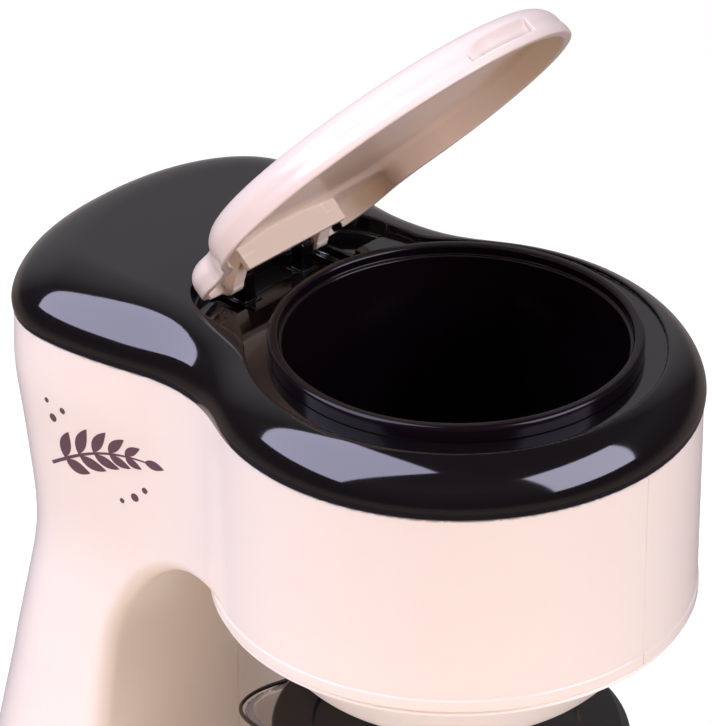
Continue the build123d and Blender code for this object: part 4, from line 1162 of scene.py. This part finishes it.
# ------------------------------------------------------------ small pieces
prof = [(0, 23.6), (38.2, 23.6), (38.4, 18.6), (40.6, 18.6), (40.6, 22.45), (44.0, 22.5), (44.0, 24.8)]
prof += arc_pts((42.8, 24.8), 1.2, 0, 90, 6)
for rg in (40.0, 36.6, 33.2, 29.8, 26.4, 23.0, 19.6, 16.2, 12.8):
    prof += [(rg + 0.75, 26.0), (rg + 0.45, 25.82), (rg + 0.3, 25.45), (rg - 0.3, 25.45), (rg - 0.45, 25.82), (rg - 0.75, 26.0)]
prof += [(0, 26.0)]
o = lathe("warming_disc", prof, 200, closed=False)
sharp_by_angle(o, 45)
piece(o, ROOT, "warming_plate", "tank_black")

prof = round_profile([(0, 129.3), (13.9, 129.3, 0.4), (13.9, 127.4, 0.2), (10.7, 127.4, 0.3), (10.7, 122.0, 1.2), (7.0, 116.0, 0.9), (4.6, 116.0, 0.5), (4.6, 122.5, 0.4), (8.6, 122.5, 0.4), (8.6, 126.8, 0.4), (0, 126.8)], closed=False)
o = lathe("outlet_tube", prof, 96, closed=False)
sharp_by_angle(o, 50)
piece(o, ROOT, "outlet_nozzle", "tank_black")

# dispense button: turned about its own axis, then laid along the button's direction
d0, d1 = 53.0, 59.75
prof = round_profile([(0, d1 - 0.25), (4.4, d1 - 0.1, 1.0), (BTN_R, d1 - 0.35, 1.1), (BTN_R, 54.0, 0.1), (BTN_R + 1.95, 54.0, 0.2), (BTN_R + 1.95, 52.05, 0.2), (BTN_R - 1.8, 52.05, 0.2), (BTN_R - 1.8, 58.5, 0.3), (1.6, 58.5, 0.3), (1.6, 52.6, 0.2), (0, 52.6)], closed=False, n=7)
ab = math.radians(BTN_A)
e1 = np.array([math.cos(ab), math.sin(ab), 0.0]); e2 = np.array([-math.sin(ab), math.cos(ab), 0.0]); e3 = np.array([0, 0, 1.0])
RB = np.stack([e2, e3, e1], 1)
o = lathe("button_cap", prof, 72, xf=(RB, np.array([0, 0, BTN_Z])), closed=False)
sharp_by_angle(o, 50)
piece(o, "button", "dispense_button", "cream")

# power switch knob with grip ridges
SY = 122.92 + float(np.interp(SW_Z, COL[:, 0], COL[:, 1]))


def f_knob(x, y, z):
    u = x + 1.2
    low = np.maximum(np.maximum(np.abs(u) - 1.8, np.abs(z - SW_Z) - 1.9), np.maximum(SY - 7.0 - y, y - SY + 4.5))
    b = smax(smax(np.abs(u) - 2.6, np.abs(z - SW_Z) - 3.4, 0.5), np.maximum(SY - 4.9 - y, y - (SY + 0.6 - 0.35 * (0.5 - 0.5 * np.cos(u * 2 * math.pi / 1.3)))), 0.3)
    return np.minimum(low, b)


xs = axis_grid(-5, 2.5, 0.18); ys = axis_grid(SY - 8, SY + 1.5, 0.25); zs = axis_grid(SW_Z - 4.5, SW_Z + 4.5, 0.25)
o = field_object("power_knob", f_knob, xs, ys, zs)
piece(o, "switch_knob", "power_switch_knob", "tank_black")

# ------------------------------------------------------------ stage, light, camera
def floor():
    me = bpy.data.meshes.new("floor")
    s = 6.0
    # a sweep: flat floor that curves up far behind
    prof = [(-s, 0.0), (2.6, 0.0)]
    for i in range(1, 13):
        a = math.radians(90 * i / 12)
        prof.append((2.6 + 1.6 * math.sin(a), 1.6 - 1.6 * math.cos(a)))
    prof.append((4.2, 6.0))
    ang = math.radians(49.4)
    fwd = np.array([math.sin(ang), math.cos(ang)]); rt = np.array([math.cos(ang), -math.sin(ang)])
    V, F = [], []
    for p, z in prof:
        for q in (-7.0, 7.0):
            xy = fwd * p + rt * q
            V.append((xy[0], xy[1], z - 0.0002))
    for i in range(len(prof) - 1):
        F.append((2 * i, 2 * i + 1, 2 * i + 3, 2 * i + 2))
    me.from_pydata(V, [], F)
    me.polygons.foreach_set("use_smooth", [True] * len(F))
    o = bpy.data.objects.new("floor", me)
    bpy.context.scene.collection.objects.link(o)
    m, nt, bs = nodes_of("floor")
    tc = nt.nodes.new("ShaderNodeTexCoord")
    n = noise(nt, 60.0, 3.0, 0.5, tc.outputs["Object"])
    nt.links.new(ramp(nt, n.outputs["Fac"], [(0.3, (0.94, 0.97, 0.80)), (0.7, (0.96, 0.985, 0.82))]), bs.inputs["Base Color"])
    bs.inputs["Roughness"].default_value = 0.7
    me.materials.append(m)
    # the wide sweep is a plain white ground; only the disc near the object throws light back on it
    o.visible_diffuse = False
    o.visible_glossy = False
    o.visible_shadow = False
    n = 96
    V = [(0.02, 0.05, 0.0)] + [(0.02 + 0.36 * math.cos(2 * math.pi * i / n), 0.05 + 0.36 * math.sin(2 * math.pi * i / n), 0.0) for i in range(n)]
    m2, nt, bs = nodes_of("floor_sheen")
    tc = nt.nodes.new("ShaderNodeTexCoord")
    k = noise(nt, 60.0, 3.0, 0.5, tc.outputs["Object"])
    nt.links.new(ramp(nt, k.outputs["Fac"], [(0.3, (0.085, 0.080, 0.078)), (0.7, (0.095, 0.090, 0.088))]), bs.inputs["Base Color"])
    bs.inputs["Roughness"].default_value = 0.8
    m3, nt, bs = nodes_of("floor_near")
    tc = nt.nodes.new("ShaderNodeTexCoord")
    k = noise(nt, 60.0, 3.0, 0.5, tc.outputs["Object"])
    nt.links.new(ramp(nt, k.outputs["Fac"], [(0.3, (0.93, 0.86, 0.72)), (0.7, (0.95, 0.88, 0.74))]), bs.inputs["Base Color"])
    bs.inputs["Roughness"].default_value = 0.7
    for name, mt, z in (("floor_near", m3, -0.0005), ("floor_sheen", m2, -0.0006)):
        near = bpy.data.meshes.new(name)
        near.from_pydata([(a, b, z) for a, b, c in V], [], [(0, 1 + i, 1 + (i + 1) % n) for i in range(n)])
        near.materials.append(mt)
        o = bpy.data.objects.new(name, near)
        bpy.context.scene.collection.objects.link(o)
        o.visible_camera = False
        o.visible_transmission = False
        o.visible_shadow = False
        o.visible_diffuse = name == "floor_near"
        o.visible_glossy = name == "floor_sheen"


floor()


def area(name, loc, target, size, power, color=(1, 1, 1), size_y=None):
    l = bpy.data.lights.new(name, "AREA")
    l.energy = power
    l.color = color
    l.shape = "RECTANGLE" if size_y else "SQUARE"
    l.size = size
    if size_y:
        l.size_y = size_y
    o = bpy.data.objects.new(name, l)
    bpy.context.scene.collection.objects.link(o)
    o.location = loc
    o.rotation_euler = (Vector(target) - Vector(loc)).to_track_quat("-Z", "Y").to_euler()
    return o


def dir_of(az, el):
    a, e = math.radians(az), math.radians(el)
    return np.array([math.sin(a) * math.cos(e), math.cos(a) * math.cos(e), math.sin(e)])


def softbox(name, az, el, half_w, half_h, radiance, color, dist=1.7, at=(0.0, 0.02, 0.21)):
    wd, ht = 2 * dist * math.tan(math.radians(half_w)), 2 * dist * math.tan(math.radians(half_h))
    loc = np.array(at) + dir_of(az, el) * dist
    return area(name, tuple(loc), at, wd, radiance * math.pi * wd * ht, color, ht)


softbox("box_left", -58.0, 47.0, 25.0, 30.0, 4.3, (1.0, 0.97, 1.32))
softbox("box_front", 166.0, 28.0, 21.0, 18.5, 4.85, (1.0, 0.97, 1.25))
fill = softbox("fill_low", -132.0, 2.0, 34.0, 13.0, 1.85, (1.0, 0.64, 0.46))
fill.visible_glossy = False
up = area("fill_up", (-0.11, -0.10, 0.004), (-0.11, -0.10, 1.0), 0.30, 0.95 * math.pi * 0.30 * 0.30, (1.0, 0.96, 0.90))
up.visible_glossy = False
up.visible_camera = False
top = softbox("fill_top", 30.0, 88.0, 42.0, 42.0, 0.40, (1.0, 0.97, 1.0))
top.visible_glossy = False
top.visible_camera = False

w = bpy.data.worlds.new("w")
bpy.context.scene.world = w
w.use_nodes = True
wt = w.node_tree
bg = wt.nodes["Background"]
tcw = wt.nodes.new("ShaderNodeTexCoord")
sep = wt.nodes.new("ShaderNodeSeparateXYZ")
wt.links.new(tcw.outputs["Generated"], sep.inputs[0])
half = wt.nodes.new("ShaderNodeMath"); half.operation = "MULTIPLY_ADD"
wt.links.new(sep.outputs["Z"], half.inputs[0]); half.inputs[1].default_value = 0.5; half.inputs[2].default_value = 0.5
rw = ramp(wt, half.outputs[0], [(0.0, (0.26, 0.20, 0.17)), (0.25, (0.28, 0.22, 0.19)), (0.40, (0.24, 0.19, 0.18)), (0.48, (0.070, 0.055, 0.055)), (0.55, (0.055, 0.046, 0.050)), (0.68, (0.085, 0.076, 0.084)), (0.76, (0.115, 0.105, 0.115)), (0.86, (0.085, 0.076, 0.085)), (1.0, (0.055, 0.046, 0.055))])
# a broad dim wall behind to the right
dn = wt.nodes.new("ShaderNodeVectorMath"); dn.operation = "DOT_PRODUCT"
wt.links.new(tcw.outputs["Generated"], dn.inputs[0])
dn.inputs[1].default_value = tuple(dir_of(42.0, 24.0))
glow = ramp(wt, dn.outputs["Value"], [(0.62, (0, 0, 0)), (0.86, (0.275, 0.265, 0.275)), (1.0, (0.335, 0.325, 0.335))])
add = wt.nodes.new("ShaderNodeMix"); add.data_type = "RGBA"; add.blend_type = "ADD"
add.inputs[0].default_value = 1.0
wt.links.new(rw, add.inputs[6]); wt.links.new(glow, add.inputs[7])
wt.links.new(add.outputs[2], bg.inputs[0])
bg.inputs[1].default_value = 1.0

cam = bpy.data.cameras.new("camera")
cam.sensor_fit = "AUTO"
cam.sensor_width = 36.0
cam.lens = 5200.0 * 36.0 / 726.0
cam.clip_start, cam.clip_end = 0.05, 50
co = bpy.data.objects.new("camera", cam)
bpy.context.scene.collection.objects.link(co)
r0 = np.array([[0.99999515, -0.00156245, -0.0026959], [-0.00311595, -0.50143563, -0.86518934], [0.0, 0.86519354, -0.50143807]])
th = math.radians(-48.05)
Rz = np.array([[math.cos(th), -math.sin(th), 0], [math.sin(th), math.cos(th), 0], [0, 0, 1]])
R = r0 @ Rz.T
mat = Matrix(((R[0][0], -R[1][0], -R[2][0], -0.81341), (R[0][1], -R[1][1], -R[2][1], -0.69915), (R[0][2], -R[1][2], -R[2][2], 0.83470), (0, 0, 0, 1)))
co.matrix_world = mat
bpy.context.scene.camera = co

bpy.context.scene.view_settings.view_transform = "Standard"
